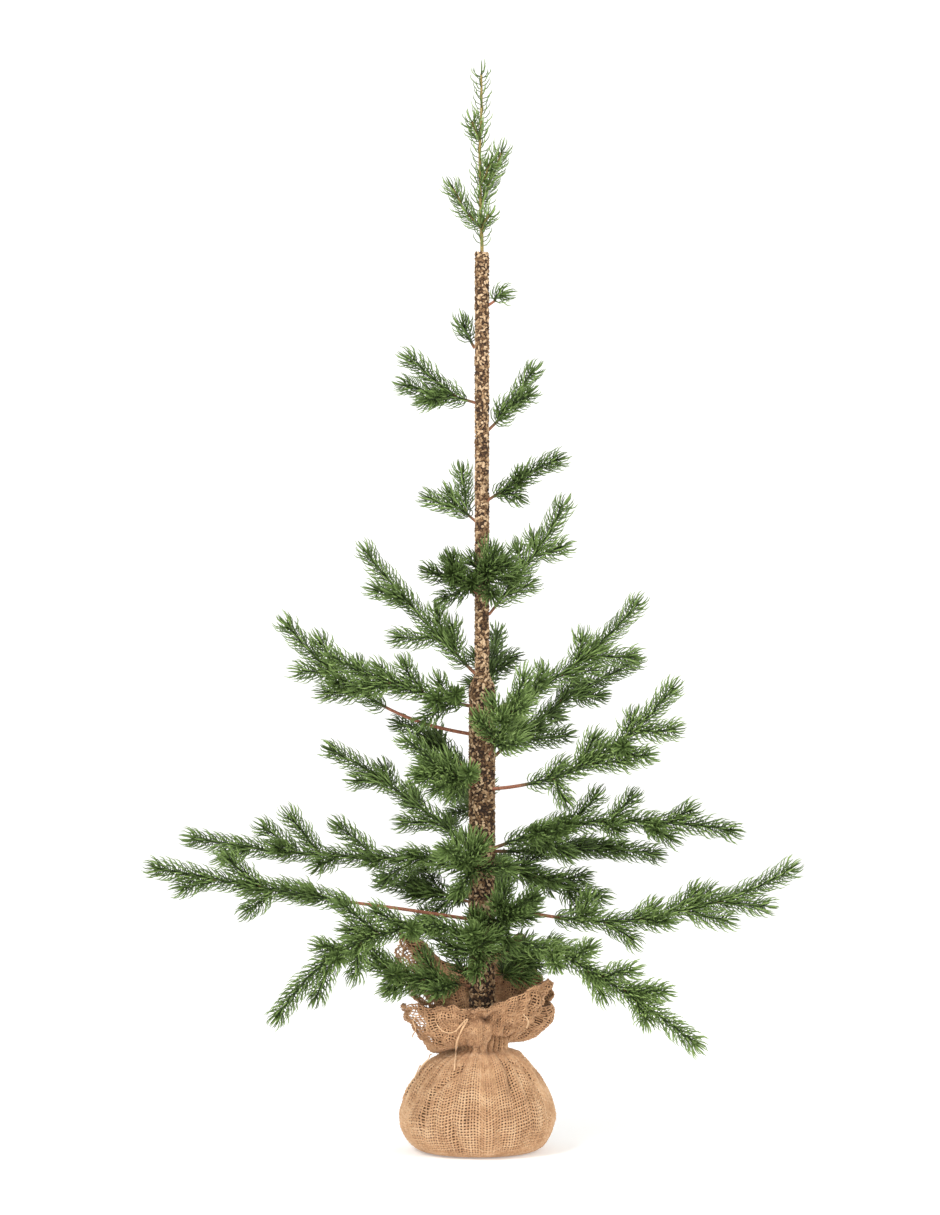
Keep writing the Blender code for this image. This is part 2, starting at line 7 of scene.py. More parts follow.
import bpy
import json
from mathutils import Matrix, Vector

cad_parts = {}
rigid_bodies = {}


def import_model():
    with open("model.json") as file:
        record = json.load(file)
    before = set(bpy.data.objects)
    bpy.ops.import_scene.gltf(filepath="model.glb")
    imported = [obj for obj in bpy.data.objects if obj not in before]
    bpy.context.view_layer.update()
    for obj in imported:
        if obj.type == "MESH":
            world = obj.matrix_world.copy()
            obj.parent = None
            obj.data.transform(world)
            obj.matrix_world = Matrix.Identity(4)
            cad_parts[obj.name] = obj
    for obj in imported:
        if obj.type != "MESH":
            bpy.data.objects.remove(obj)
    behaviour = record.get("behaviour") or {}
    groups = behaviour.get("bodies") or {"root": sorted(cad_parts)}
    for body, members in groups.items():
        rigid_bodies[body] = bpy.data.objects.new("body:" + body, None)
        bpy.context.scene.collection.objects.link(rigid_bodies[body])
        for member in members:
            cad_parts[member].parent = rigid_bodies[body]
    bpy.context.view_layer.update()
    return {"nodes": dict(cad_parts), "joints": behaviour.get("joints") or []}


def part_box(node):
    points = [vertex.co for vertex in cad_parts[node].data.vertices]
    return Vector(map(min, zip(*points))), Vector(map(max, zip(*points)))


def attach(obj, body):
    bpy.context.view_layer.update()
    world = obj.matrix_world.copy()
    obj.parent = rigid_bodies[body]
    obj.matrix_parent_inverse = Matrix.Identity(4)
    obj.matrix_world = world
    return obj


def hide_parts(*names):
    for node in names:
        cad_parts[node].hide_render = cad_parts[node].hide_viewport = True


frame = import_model()

import json
import math
import random

import bpy
import numpy as np
from mathutils import Vector, noise

joints = {joint["child"]: joint for joint in frame["joints"]}

# %% [markdown]
# ## Camera, floor and light
# The tree is seen from straight in front, at about the height of its middle, through a long lens.
# A long lens keeps the near and far branches at nearly the same scale, as a catalogue picture does.

# %% Camera
EYE = Vector((-0.010, -3.0, 0.4535))
LENS = 106.3
SENSOR = 36.0

camera = bpy.data.objects.new("camera", bpy.data.cameras.new("camera"))
camera.data.lens = LENS
camera.data.sensor_fit = "VERTICAL"
camera.data.sensor_height = SENSOR
camera.location = EYE
camera.rotation_euler = (math.radians(90), 0.0, 0.0)
bpy.context.scene.collection.objects.link(camera)
bpy.context.scene.camera = camera
print("picture is", round(SENSOR / LENS * -EYE.y * 1000), "mm high at the trunk")

# %% [markdown]
# Colours are written as sRGB hex values, the way a picture editor shows them, and one function
# turns them into the linear values that shaders work with.

# %% Colours
def linear(hex_colour):
    """Linear RGBA of an sRGB hex colour such as #8a6242."""
    channels = [int(hex_colour[i:i + 2], 16) / 255 for i in (1, 3, 5)]
    curve = [c / 12.92 if c <= 0.04045 else ((c + 0.055) / 1.055) ** 2.4 for c in channels]
    return (*curve, 1.0)


def socket_of(source):
    """The first output of a node, or the socket itself."""
    return source.outputs[0] if isinstance(source, bpy.types.Node) else source


def add_node(tree, kind, links=(), **settings):
    """Adds a node, sets its properties and input values by name, and links its inputs.
    links are (input name or number, output socket or node) pairs."""
    node = tree.nodes.new(kind)
    for name, value in settings.items():
        if name in node.bl_rna.properties:
            setattr(node, name, value)
    for name, value in settings.items():
        if name not in node.bl_rna.properties:
            key = int(name[1:]) if name[0] == "_" and name[1:].isdigit() else name.replace("_", " ")
            node.inputs[key].default_value = value
    for name, source in links:
        tree.links.new(socket_of(source), node.inputs[name])
    return node


def math_node(tree, operation, *values):
    """A maths node from nodes, sockets or numbers; gives its output."""
    node = tree.nodes.new("ShaderNodeMath")
    node.operation = operation
    for place, value in enumerate(values):
        if isinstance(value, (int, float)):
            node.inputs[place].default_value = value
        else:
            tree.links.new(socket_of(value), node.inputs[place])
    return node.outputs[0]


def map_range(tree, value, low, high, to_low=0.0, to_high=1.0):
    """A node that maps the stretch low to high onto to_low to to_high; gives its output."""
    node = add_node(tree, "ShaderNodeMapRange", [("Value", value)])
    for name, number in (("From Min", low), ("From Max", high), ("To Min", to_low),
                         ("To Max", to_high)):
        node.inputs[name].default_value = number
    return node.outputs[0]


def new_material(name, roughness, ior=1.5, metallic=0.0):
    """A material with its Principled shader, returned with its node tree and shader."""
    material = bpy.data.materials.new(name)
    material.use_nodes = True
    tree = material.node_tree
    shader = tree.nodes["Principled BSDF"]
    shader.inputs["Roughness"].default_value = roughness
    shader.inputs["IOR"].default_value = ior
    shader.inputs["Metallic"].default_value = metallic
    return material, tree, shader


def dress(tree, shader, colour, height, strength, depth):
    """Gives a shader its colour, and a bump of the given strength and depth in metres."""
    tree.links.new(socket_of(colour), shader.inputs["Base Color"])
    bump = add_node(tree, "ShaderNodeBump", [("Height", height)], Strength=strength,
                    Distance=depth)
    tree.links.new(bump.outputs[0], shader.inputs["Normal"])


def new_mesh(name, points, faces, edges=()):
    mesh = bpy.data.meshes.new(name)
    mesh.from_pydata(points, edges, faces)
    return mesh


def new_object(name, mesh):
    """An object at the origin, linked into the scene."""
    thing = bpy.data.objects.new(name, mesh)
    bpy.context.scene.collection.objects.link(thing)
    return thing


def ring_faces(rows, sides):
    """The faces between rings of points, for a surface whose points come ring by ring."""
    return [(row * sides + i, row * sides + (i + 1) % sides, (row + 1) * sides + (i + 1) % sides,
             (row + 1) * sides + i) for row in range(rows - 1) for i in range(sides)]


print("white is", linear("#ffffff"))

# %% [markdown]
# The floor is one white sheet that sweeps up all round, so no horizon shows. Three large soft lamps
# light it: a key from the upper left, a weaker fill from the right and a low one from the front.

# %% Floor sweep and lamps
def make_sweep():
    """A round white floor whose rim sweeps up into a wall, so every side looks the same."""
    floor_radius, curve, top, sides = 7.0, 2.0, 7.0, 48
    profile = [(0.3, 0.0), (2.0, 0.0), (floor_radius, 0.0)]
    profile += [(floor_radius + curve * math.sin(a), curve - curve * math.cos(a))
                for a in [math.pi / 2 * i / 8 for i in range(1, 9)]]
    profile.append((floor_radius + curve, top))
    points = [(r * math.cos(2 * math.pi * i / sides), r * math.sin(2 * math.pi * i / sides),
               z - 0.0004) for r, z in profile for i in range(sides)]
    faces = [tuple(range(sides))] + [face[::-1] for face in ring_faces(len(profile), sides)]
    mesh = new_mesh("paper_sweep", points, faces)
    mesh.shade_smooth()
    sweep = new_object("paper_sweep", mesh)
    material, tree, shader = new_material("matte_paper", 0.9)
    shader.inputs["Base Color"].default_value = linear("#fcfcfb")
    shader.inputs["Emission Color"].default_value = linear("#ffffff")
    shader.inputs["Emission Strength"].default_value = 0.26
    mesh.materials.append(material)


def make_lamp(name, place, target, size, watts):
    data = bpy.data.lights.new(name, "AREA")
    data.shape = "DISK"
    data.size = size
    data.energy = watts
    lamp = bpy.data.objects.new(name, data)
    lamp.location = place
    lamp.rotation_euler = (Vector(target) - Vector(place)).to_track_quat("-Z", "Y").to_euler()
    bpy.context.scene.collection.objects.link(lamp)


make_sweep()
make_lamp("key", (-1.6, -2.2, 2.4), (0, 0, 0.40), 1.2, 62)
make_lamp("fill", (2.2, -2.0, 1.2), (0, 0, 0.35), 1.6, 26)
make_lamp("low_fill", (0.0, -2.6, 0.35), (0, 0, 0.30), 1.4, 12)
world = bpy.data.worlds.new("studio")
world.use_nodes = True
world.node_tree.nodes["Background"].inputs["Color"].default_value = linear("#fbfbfb")
world.node_tree.nodes["Background"].inputs["Strength"].default_value = 0.55
bpy.context.scene.world = world
bpy.context.scene.view_settings.view_transform = "Standard"
print("stage ready")

# %% [markdown]
# ## Where the twigs run
# Each branch is one taped wire with shorter side sprigs twisted onto it. The frame gives the joint
# at its root and its heading. The list below gives its rise, its bend over its length, its length,
# the bare stretch before the needles, how light its green is painted (painted light and shade:
# lighter for branches in front, darker for those behind), and its side sprigs: share along it,
# clock direction round it, angle away from it, and length.

# %% Branches
BRANCHES = {
    "branch_01_left": (20, -70, 0.242, 0.024, 0.55, [
        (0.31, 10, 26, 0.048), (0.44, 0, 44, 0.060), (0.52, 185, 56, 0.036),
        (0.60, 355, 34, 0.034), (0.64, 172, 38, 0.046), (0.40, 100, 40, 0.040)]),
    "branch_02_right": (-5, -27, 0.242, 0.036, 0.70, [
        (0.36, 20, 40, 0.042), (0.44, 190, 38, 0.034), (0.50, 5, 30, 0.046),
        (0.61, 350, 24, 0.050), (0.28, 100, 42, 0.038), (0.68, 110, 28, 0.036)]),
    "branch_03_left": (9, 2, 0.279, 0.106, 0.45, [
        (0.46, 80, 32, 0.042), (0.60, 190, 46, 0.038), (0.64, 350, 30, 0.046),
        (0.78, 200, 24, 0.040)]),
    "branch_04_right": (-15, 48, 0.264, 0.050, 0.60, [
        (0.26, 10, 62, 0.030), (0.34, 175, 34, 0.038), (0.46, 100, 36, 0.040),
        (0.54, 350, 28, 0.042), (0.60, 185, 28, 0.046), (0.70, 172, 24, 0.050)]),
    "branch_05_left": (-2, 11, 0.240, 0.024, 0.45, [
        (0.18, 186, 34, 0.040), (0.32, 5, 40, 0.050), (0.52, 350, 50, 0.050),
        (0.60, 10, 32, 0.044), (0.76, 200, 26, 0.034)]),
    "branch_06_left": (35, -10, 0.166, 0.016, 0.45, [
        (0.20, 200, 36, 0.042), (0.36, 80, 40, 0.034), (0.54, 5, 34, 0.028),
        (0.60, 185, 30, 0.036)]),
    "branch_07_right": (21, -33, 0.218, 0.016, 0.45, [
        (0.20, 100, 44, 0.040), (0.30, 355, 34, 0.046), (0.48, 5, 42, 0.036),
        (0.60, 185, 30, 0.038), (0.70, 0, 30, 0.032)]),
    "branch_08_right": (5, 44, 0.206, 0.034, 0.60, [
        (0.28, 178, 76, 0.032), (0.40, 355, 34, 0.040), (0.46, 180, 24, 0.046),
        (0.57, 175, 38, 0.046), (0.66, 8, 34, 0.028), (0.70, 182, 34, 0.048)]),
    "branch_09_right": (35, -14, 0.172, 0.016, 0.30, [
        (0.12, 172, 30, 0.062), (0.45, 10, 28, 0.036), (0.54, 176, 30, 0.038)]),
    "branch_10_left": (10, 44, 0.190, 0.076, 0.50, [
        (0.46, 350, 40, 0.038), (0.50, 190, 30, 0.040), (0.62, 5, 26, 0.042),
        (0.64, 178, 34, 0.038)]),
    "branch_11_right": (21, 34, 0.158, 0.018, 0.55, [
        (0.28, 350, 66, 0.022), (0.38, 182, 26, 0.038), (0.48, 0, 36, 0.032),
        (0.55, 178, 40, 0.048)]),
    "branch_12_left": (11, 14, 0.144, 0.014, 0.50, [
        (0.14, 5, 52, 0.028), (0.32, 350, 34, 0.042), (0.40, 100, 38, 0.036),
        (0.54, 185, 28, 0.042)]),
    "branch_13_left": (42, 8, 0.152, 0.014, 0.50, [
        (0.14, 350, 42, 0.034), (0.24, 10, 30, 0.036), (0.28, 184, 46, 0.048),
        (0.56, 188, 28, 0.040)]),
    "spray_01_back": (48, -14, 0.090, 0.020, 0.15, []),
    "spray_02_left": (8, 20, 0.120, 0.014, 0.50, [
        (0.32, 185, 30, 0.040), (0.44, 70, 40, 0.036), (0.60, 350, 28, 0.034)]),
    "spray_03_right": (28, 0, 0.072, 0.012, 0.35, [(0.36, 80, 38, 0.030)]),
    "spray_04_front": (30, -10, 0.062, 0.010, 0.45, [
        (0.26, 280, 50, 0.034), (0.30, 70, 50, 0.030)]),
    "spray_05_right": (24, -6, 0.096, 0.012, 0.25, [
        (0.34, 60, 40, 0.034), (0.46, 290, 36, 0.032)]),
    "spray_06_left": (12, -6, 0.096, 0.012, 0.20, [
        (0.34, 290, 38, 0.036), (0.48, 40, 36, 0.032)]),
    "spray_07_back": (16, -4, 0.170, 0.012, 0.25, [
        (0.32, 60, 38, 0.036), (0.44, 290, 38, 0.036), (0.56, 10, 34, 0.030)]),
    "spray_08_front": (22, -10, 0.082, 0.010, 0.50, [
        (0.24, 300, 50, 0.038), (0.32, 80, 48, 0.032), (0.40, 10, 40, 0.030)]),
    "spray_09_right": (0, -4, 0.158, 0.022, 0.20, [
        (0.32, 80, 38, 0.040), (0.46, 280, 36, 0.038), (0.58, 90, 32, 0.032)]),
    "spray_10_right": (-18, -2, 0.100, 0.014, 0.35, [
        (0.34, 70, 40, 0.032), (0.62, 182, 44, 0.028)]),
    "spray_11_back": (12, 6, 0.165, 0.012, 0.25, [
        (0.28, 70, 40, 0.038), (0.38, 285, 38, 0.038), (0.54, 20, 32, 0.032)]),
    "spray_12_left": (50, -44, 0.092, 0.024, 0.15, [(0.40, 80, 36, 0.030)]),
    "spray_13_left": (24, 6, 0.094, 0.010, 0.60, [
        (0.16, 178, 76, 0.026), (0.24, 10, 42, 0.026), (0.34, 190, 34, 0.038)]),
    "spray_14_front": (48, 10, 0.092, 0.016, 0.65, [
        (0.34, 70, 46, 0.036), (0.42, 290, 46, 0.034), (0.50, 180, 40, 0.028)]),
    "spray_15_back": (22, 10, 0.128, 0.012, 0.25, [
        (0.30, 75, 40, 0.034), (0.40, 285, 38, 0.034)]),
    "spray_16_right": (50, 12, 0.118, 0.010, 0.60, [
        (0.14, 180, 30, 0.034), (0.38, 0, 50, 0.028), (0.50, 180, 40, 0.036)]),
    "spray_17_left": (26, -10, 0.054, 0.008, 0.25, [
        (0.24, 5, 42, 0.032), (0.30, 290, 46, 0.028)]),
    "spray_18_front": (36, 0, 0.052, 0.008, 0.30, [
        (0.28, 70, 52, 0.030), (0.30, 290, 52, 0.030)]),
    "spray_19_left": (34, -22, 0.056, 0.008, 0.50, [(0.16, 10, 50, 0.044)]),
    "spray_20_right": (30, -8, 0.080, 0.008, 0.35, [(0.12, 182, 36, 0.028)]),
    "spray_21_right": (46, 14, 0.070, 0.008, 0.45, [(0.14, 60, 50, 0.024)]),
    "spray_22_left": (12, 4, 0.070, 0.008, 0.40, [
        (0.18, 5, 24, 0.062), (0.30, 100, 46, 0.026)]),
    "spray_23_left": (62, 10, 0.028, 0.006, 0.30, []),
    "spray_24_right": (34, 6, 0.022, 0.006, 0.45, []),
    "leader": (90, 0, 0.158, 0.008, 0.60, [(0.12, 3, 36, 0.052), (0.24, 182, 20, 0.060)]),
}
assert set(BRANCHES) == set(joints)


def along(body, share):
    """Point, direction, upward and right hand directions at a share of a branch's length."""
    rise, bend, length = BRANCHES[body][:3]
    root = Vector(joints[body]["pos_m"])
    axis = Vector(joints[body]["axis"])
    outwards = Vector((-axis.y, axis.x, 0.0))
    upwards = Vector((0.0, 0.0, 1.0))
    steps = max(1, round(24 * share))
    point = root.copy()
    for i in range(steps):
        angle = math.radians(rise + bend * share * (i + 0.5) / steps)
        point += (outwards * math.cos(angle) + upwards * math.sin(angle)) * length * share / steps
    angle = math.radians(rise + bend * share)
    direction = outwards * math.cos(angle) + upwards * math.sin(angle)
    above = upwards * math.cos(angle) - outwards * math.sin(angle)
    return point, direction, above, axis


print("leader's tip at", tuple(round(v, 3) for v in along("leader", 1.0)[0]))

# %% [markdown]
# Real wires are never bent evenly by hand. Each twig gets a small wander of its own, from a fixed
# random seed, that starts at nothing at its root and stays within a few millimetres.

# %% Twig lines
SEED = 20
WANDER = 0.0022            # sideways wander of a twig
TIP_ROOM = 0.0095          # the wire ends this far short, to leave room for the last needles
NEAR_BARE = 0.030          # branches with less bare wire than this get needles close to the bark
FILLER_APART = 0.042       # one filler sprig for each such length
draw = random.Random(SEED)
noise.seed_set(SEED)       # without this the noise would follow the clock


def wandering(points, amount):
    """The same line with a smooth sideways wander."""
    shift = Vector((draw.uniform(0, 40), draw.uniform(0, 40), draw.uniform(0, 40)))
    moved = []
    for i, point in enumerate(points):
        share = i / (len(points) - 1)
        offset = noise.noise_vector(shift + Vector((share * 2.6, 0, 0)))
        moved.append(point + offset * amount * min(1.0, share * 2.2) * 1.6)
    return moved


# Fuller sprays close in front of the trunk and beside it.
EXTRA_SPRIGS = {
    "spray_02_left": [(0.10, 250, 40, 0.044), (0.16, 90, 60, 0.040), (0.22, 0, 50, 0.036),
                      (0.44, 200, 44, 0.034)],
    "spray_03_right": [(0.10, 270, 50, 0.042), (0.14, 180, 40, 0.034), (0.3, 0, 40, 0.034)],
    "spray_04_front": [(0.06, 180, 60, 0.040), (0.10, 270, 76, 0.044), (0.08, 90, 66, 0.036),
                       (0.2, 0, 40, 0.040)],
    "spray_05_right": [(0.08, 280, 60, 0.044), (0.12, 180, 50, 0.040), (0.24, 0, 44, 0.040),
                       (0.14, 80, 70, 0.034)],
    "spray_06_left": [(0.08, 90, 56, 0.044), (0.16, 190, 50, 0.040), (0.3, 0, 44, 0.036),
                      (0.26, 260, 46, 0.038)],
    "spray_08_front": [(0.06, 270, 74, 0.046), (0.08, 90, 60, 0.040), (0.10, 180, 50, 0.044),
                       (0.12, 0, 44, 0.040)],
    "spray_10_right": [(0.10, 270, 50, 0.040), (0.16, 0, 50, 0.038), (0.30, 250, 40, 0.036)],
    "spray_12_left": [(0.20, 180, 44, 0.038), (0.26, 270, 44, 0.038)],
    "spray_13_left": [(0.08, 270, 50, 0.044), (0.10, 80, 60, 0.040), (0.20, 200, 44, 0.044),
                      (0.44, 170, 40, 0.034)],
    "spray_14_front": [(0.08, 180, 44, 0.044), (0.10, 280, 66, 0.040), (0.16, 80, 56, 0.042)],
    "spray_17_left": [(0.08, 270, 60, 0.034), (0.12, 180, 50, 0.034), (0.2, 0, 30, 0.034)],
    "spray_18_front": [(0.06, 180, 60, 0.038), (0.08, 90, 72, 0.034), (0.08, 270, 72, 0.036),
                       (0.2, 0, 30, 0.034)],
    "branch_07_right": [(0.12, 280, 50, 0.046), (0.16, 180, 44, 0.044), (0.14, 90, 50, 0.044)],
    "branch_09_right": [(0.10, 0, 50, 0.040), (0.14, 280, 50, 0.040)],
    "branch_12_left": [(0.10, 280, 60, 0.040), (0.12, 180, 40, 0.040)],
}


def twig_lines(body):
    """The lines of a branch's twigs: points, where needles start, and thickness at root and tip."""
    length, bare, sprigs = BRANCHES[body][2], BRANCHES[body][3], BRANCHES[body][5]
    reach = 1.0 - TIP_ROOM / length
    if bare < NEAR_BARE:
        bare = bare * 0.4 + 0.002
    fillers = round((length * 0.72 - bare) / FILLER_APART) if length > 0.05 else 0
    sprigs = sprigs + [((bare / length) + (0.72 - bare / length) * (i + 0.4) / fillers,
                        draw.choice((90, 270)) + draw.uniform(-50, 50), draw.uniform(34, 56),
                        draw.uniform(0.026, 0.036)) for i in range(fillers)]
    sprigs = sprigs + EXTRA_SPRIGS.get(body, [])
    count = max(6, round(length / 0.012))
    main = wandering([along(body, reach * i / count)[0] for i in range(count + 1)], WANDER)
    thick = 0.0015 if length >= 0.14 else 0.0012
    lines = [(main, bare / length, thick, 0.0009)]
    for share, clock, spread, sprig_length in sprigs:
        point, direction, above, right = along(body, share)
        sprig_length -= TIP_ROOM
        place = share / reach * count
        low = min(int(place), count - 1)
        point = main[low].lerp(main[low + 1], place - low)
        clock, spread = math.radians(clock), math.radians(spread)
        aside = above * math.cos(clock) + right * math.sin(clock)
        way = direction * math.cos(spread) + aside * math.sin(spread)
        curl = (direction * 0.8 + Vector((0, 0, 0.5))).cross(way).cross(way) * -0.05
        steps = max(5, round(sprig_length / 0.008))
        line = [point + way * sprig_length * i / steps
                + curl * sprig_length * (i / steps) * (i / steps - 0.5) for i in range(steps + 1)]
        lines.append((wandering(line, WANDER * 0.6), 0.06, 0.0009, 0.0007))
    return lines


total = sum(sum((b - a).length for a, b in zip(line, line[1:]))
            for body in BRANCHES for line, *_ in twig_lines(body))
draw.seed(SEED)
print("twigs in all, m:", round(total, 2))

# %% [markdown]
# ## Needles
# The needles of such a tree are moulded polyethylene, pressed round the wire in short brushes.
# One needle is a slim tapering form with four sides that curves towards the twig's tip.
# Geometry Nodes plant it along every twig: each next needle turns by the golden angle, so no rows
# show, and near the tip the needles lean in, which gives the round brush end.

# %% One needle
NEEDLE_LENGTH = 0.0160
NEEDLE_WIDTH = 0.00125
NEEDLE_CURL = math.radians(92)


def make_needle(name, length, width):
    """A four sided needle from +Z that curls towards +Y, with its share along it stored."""
    rings = [(0.0, 0.80), (0.34, 1.0), (0.68, 0.92)]
    points, shares = [], []
    for share, swell in rings + [(1.0, 0.0)]:
        turned = NEEDLE_CURL * share
        middle_y = length / NEEDLE_CURL * (1.0 - math.cos(turned))
        middle_z = length / NEEDLE_CURL * math.sin(turned)
        for side in range(4 if swell else 1):
            angle = math.pi / 2 * side
            wide, thick = math.cos(angle) * width / 2 * swell, math.sin(angle) * width * 0.36 * swell
            points.append((wide, middle_y + thick * math.cos(turned),
                           middle_z - thick * math.sin(turned)))
            shares.append(share)
    faces = ring_faces(3, 4)
    faces += [(8 + side, 8 + (side + 1) % 4, 12) for side in range(4)]
    faces.append((3, 2, 1, 0))
    mesh = new_mesh(name, points, faces)
    mesh.shade_smooth()
    mesh.attributes.new("needle_share", "FLOAT", "POINT").data.foreach_set("value", shares)
    needle = new_object(name, mesh)
    return needle


needle = make_needle("one_needle", NEEDLE_LENGTH, NEEDLE_WIDTH)
print("a needle has", len(needle.data.polygons), "faces")

# %% [markdown]
# Every Geometry Nodes tree here takes named inputs and gives back geometry. This helper starts
# such a tree, and another puts it on an object, sets its inputs by their identifiers, and turns
# the result into a plain mesh.

# %% Geometry Nodes helpers
SOCKETS = {"float": "NodeSocketFloat", "int": "NodeSocketInt", "object": "NodeSocketObject",
           "bool": "NodeSocketBool",
           "material": "NodeSocketMaterial", "collection": "NodeSocketCollection"}


def start_tree(name, inputs):
    """A new geometry tree with named inputs, and its input and output nodes."""
    tree = bpy.data.node_groups.new(name, "GeometryNodeTree")
    tree.interface.new_socket("Geometry", in_out="INPUT", socket_type="NodeSocketGeometry")
    tree.interface.new_socket("Geometry", in_out="OUTPUT", socket_type="NodeSocketGeometry")
    for label, kind in inputs.items():
        tree.interface.new_socket(label, in_out="INPUT", socket_type=SOCKETS[kind])
    return tree, tree.nodes.new("NodeGroupInput"), tree.nodes.new("NodeGroupOutput")


def end_tree(tree, given, result, geometry):
    """Ends a tree: instances made real, and the material set."""
    real = add_node(tree, "GeometryNodeRealizeInstances", [("Geometry", geometry)])
    painted = add_node(tree, "GeometryNodeSetMaterial", [
        ("Geometry", real), ("Material", given.outputs["Material"])])
    tree.links.new(painted.outputs[0], result.inputs[0])


def store(tree, geometry, value, name):
    """Keeps a number for each instance under a name, which a shader can read."""
    return add_node(tree, "GeometryNodeStoreNamedAttribute", [
        ("Geometry", geometry), ("Value", value)], data_type="FLOAT", domain="INSTANCE", Name=name)


def spin_and_tilt(tree, rotation, spin, tilt):
    """A rotation, then a spin about its own Z and a tilt about its own X."""
    for axis, angle in (((0.0, 0.0, 1.0), spin), ((1.0, 0.0, 0.0), tilt)):
        turn = add_node(tree, "FunctionNodeAxisAngleToRotation", [("Angle", angle)], Axis=axis)
        rotation = add_node(tree, "FunctionNodeRotateRotation", [(0, rotation), (1, turn)],
                            rotation_space="LOCAL")
    return rotation


def grow(name, carrier_mesh, tree, values):
    """Runs a tree on a mesh and returns the result as a plain mesh object at the origin."""
    carrier = new_object(name + "_carrier", carrier_mesh)
    modifier = carrier.modifiers.new("grow", "NODES")
    modifier.node_group = tree
    for item in tree.interface.items_tree:
        if item.in_out == "INPUT" and item.name in values:
            modifier[item.identifier] = values[item.name]
    bpy.context.view_layer.update()
    graph = bpy.context.evaluated_depsgraph_get()
    mesh = bpy.data.meshes.new_from_object(carrier.evaluated_get(graph))
    mesh.name = name
    bpy.data.objects.remove(carrier, do_unlink=True)
    return new_object(name, mesh)


def line_mesh(name, lines, numbers):
    """A mesh of edges only, one run for each line, with numbers stored on its points.
    numbers is a dictionary: attribute name to one list for each line."""
    points, edges = [], []
    for line in lines:
        edges += [(len(points) + i, len(points) + i + 1) for i in range(len(line) - 1)]
        points += [tuple(point) for point in line]
    mesh = new_mesh(name, points, [], edges)
    for label, rows in numbers.items():
        flat = [value for row in rows for value in row]
        mesh.attributes.new(label, "FLOAT", "POINT").data.foreach_set("value", flat)
    return mesh


print("helpers ready")

# %% The tree of nodes that plants needles
GOLDEN_ANGLE = math.radians(137.508)


def make_bristle_tree():
    tree, given, result = start_tree("needles_along_twigs", {
        "Needle": "object", "Spacing": "float", "Lean": "float", "Tip lean": "float",
        "Tip reach": "float", "Seed": "int", "Material": "material"})
    curve = add_node(tree, "GeometryNodeMeshToCurve", [("Mesh", given.outputs["Geometry"])])
    spaced = add_node(tree, "GeometryNodeResampleCurve", [
        ("Curve", curve), ("Length", given.outputs["Spacing"])], mode="LENGTH")
    index = add_node(tree, "GeometryNodeInputIndex")
    tangent = add_node(tree, "GeometryNodeInputTangent")
    run = add_node(tree, "GeometryNodeSplineParameter")
    whole = add_node(tree, "GeometryNodeSplineLength")
    left = math_node(tree, "SUBTRACT", whole.outputs["Length"], run.outputs["Length"])
    lean = add_node(tree, "ShaderNodeMapRange", [
        ("Value", left), ("From Max", given.outputs["Tip reach"]),
        ("To Min", given.outputs["Tip lean"]), ("To Max", given.outputs["Lean"])],
        interpolation_type="SMOOTHERSTEP")
    lean_jitter = add_node(tree, "FunctionNodeRandomValue", [("Seed", given.outputs["Seed"])],
                           data_type="FLOAT", _2=-0.15, _3=0.15)
    lean_sum = math_node(tree, "ADD", lean, lean_jitter.outputs[1])
    turn = math_node(tree, "MULTIPLY", index, GOLDEN_ANGLE)
    frame_up = add_node(tree, "FunctionNodeAlignRotationToVector", [("Vector", tangent)],
                        axis="Z")
    tilted = spin_and_tilt(tree, frame_up, turn, lean_sum)
    size = add_node(tree, "FunctionNodeRandomValue", [("Seed", given.outputs["Seed"])],
                    data_type="FLOAT", _2=0.84, _3=1.08)
    shape = add_node(tree, "GeometryNodeObjectInfo", [("Object", given.outputs["Needle"])])
    planted = add_node(tree, "GeometryNodeInstanceOnPoints", [
        ("Points", spaced), ("Instance", shape.outputs["Geometry"]),
        ("Rotation", tilted), ("Scale", size.outputs[1])])
    shade = add_node(tree, "FunctionNodeRandomValue", [("Seed", given.outputs["Seed"])],
                     data_type="FLOAT", ID=3)
    stored = store(tree, planted, shade.outputs[1], "needle_shade")
    end_tree(tree, given, result, stored)
    return tree


bristle_tree = make_bristle_tree()
print(len(bristle_tree.nodes), "nodes")

# %% [markdown]
# The finish of the needles: soft polyethylene with a dull satin skin. Each needle is a darker
# green at its foot, by the twig, and a lighter one at its end. Colour follows the needle's own
# share, a random shade for each needle, and a painted light and shade for each branch, lighter
# for branches in front and darker for those behind.

# %% Needle material
def colour_ramp(tree, factor, stops):
    """A colour ramp node from (position, hex colour) stops."""
    ramp = add_node(tree, "ShaderNodeValToRGB", [(0, factor)])
    elements = ramp.color_ramp.elements
    while len(elements) < len(stops):
        elements.new(0.5)
    for element, (position, colour) in zip(elements, stops):
        element.position = position
        element.color = linear(colour)
    return ramp


def attribute(tree, name):
    node = tree.nodes.new("ShaderNodeAttribute")
    node.attribute_name = name
    return node.outputs["Fac"]


def make_needle_material():
    material, tree, shader = new_material("moulded_polyethylene_needles", 0.50, ior=1.5)
    # Painted light and shade: each branch's needles are lighter in front and darker behind.
    painted_light = math_node(tree, "MULTIPLY", attribute(tree, "branch_painted_light"), 0.42)
    shade = math_node(tree, "MULTIPLY_ADD", attribute(tree, "needle_shade"), 0.34, painted_light)
    share = math_node(tree, "MULTIPLY_ADD", attribute(tree, "needle_share"), 0.30, shade)
    ramp = colour_ramp(tree, share, [
        (0.0, "#0a0e03"), (0.28, "#2b3a12"), (0.58, "#61783e"), (1.0, "#a6c072")])
    tree.links.new(ramp.outputs[0], shader.inputs["Base Color"])
    shader.inputs["Specular IOR Level"].default_value = 0.22
    return material


needle_finish = make_needle_material()
print(needle_finish.name)

# %% [markdown]
# The stems are steel wire wrapped in crepe paper tape, reddish brown. They are swept tubes that
# taper, and the tape's turns show as a slight spiral ridge. The leader's stem is thinner wrapped
# and greener.

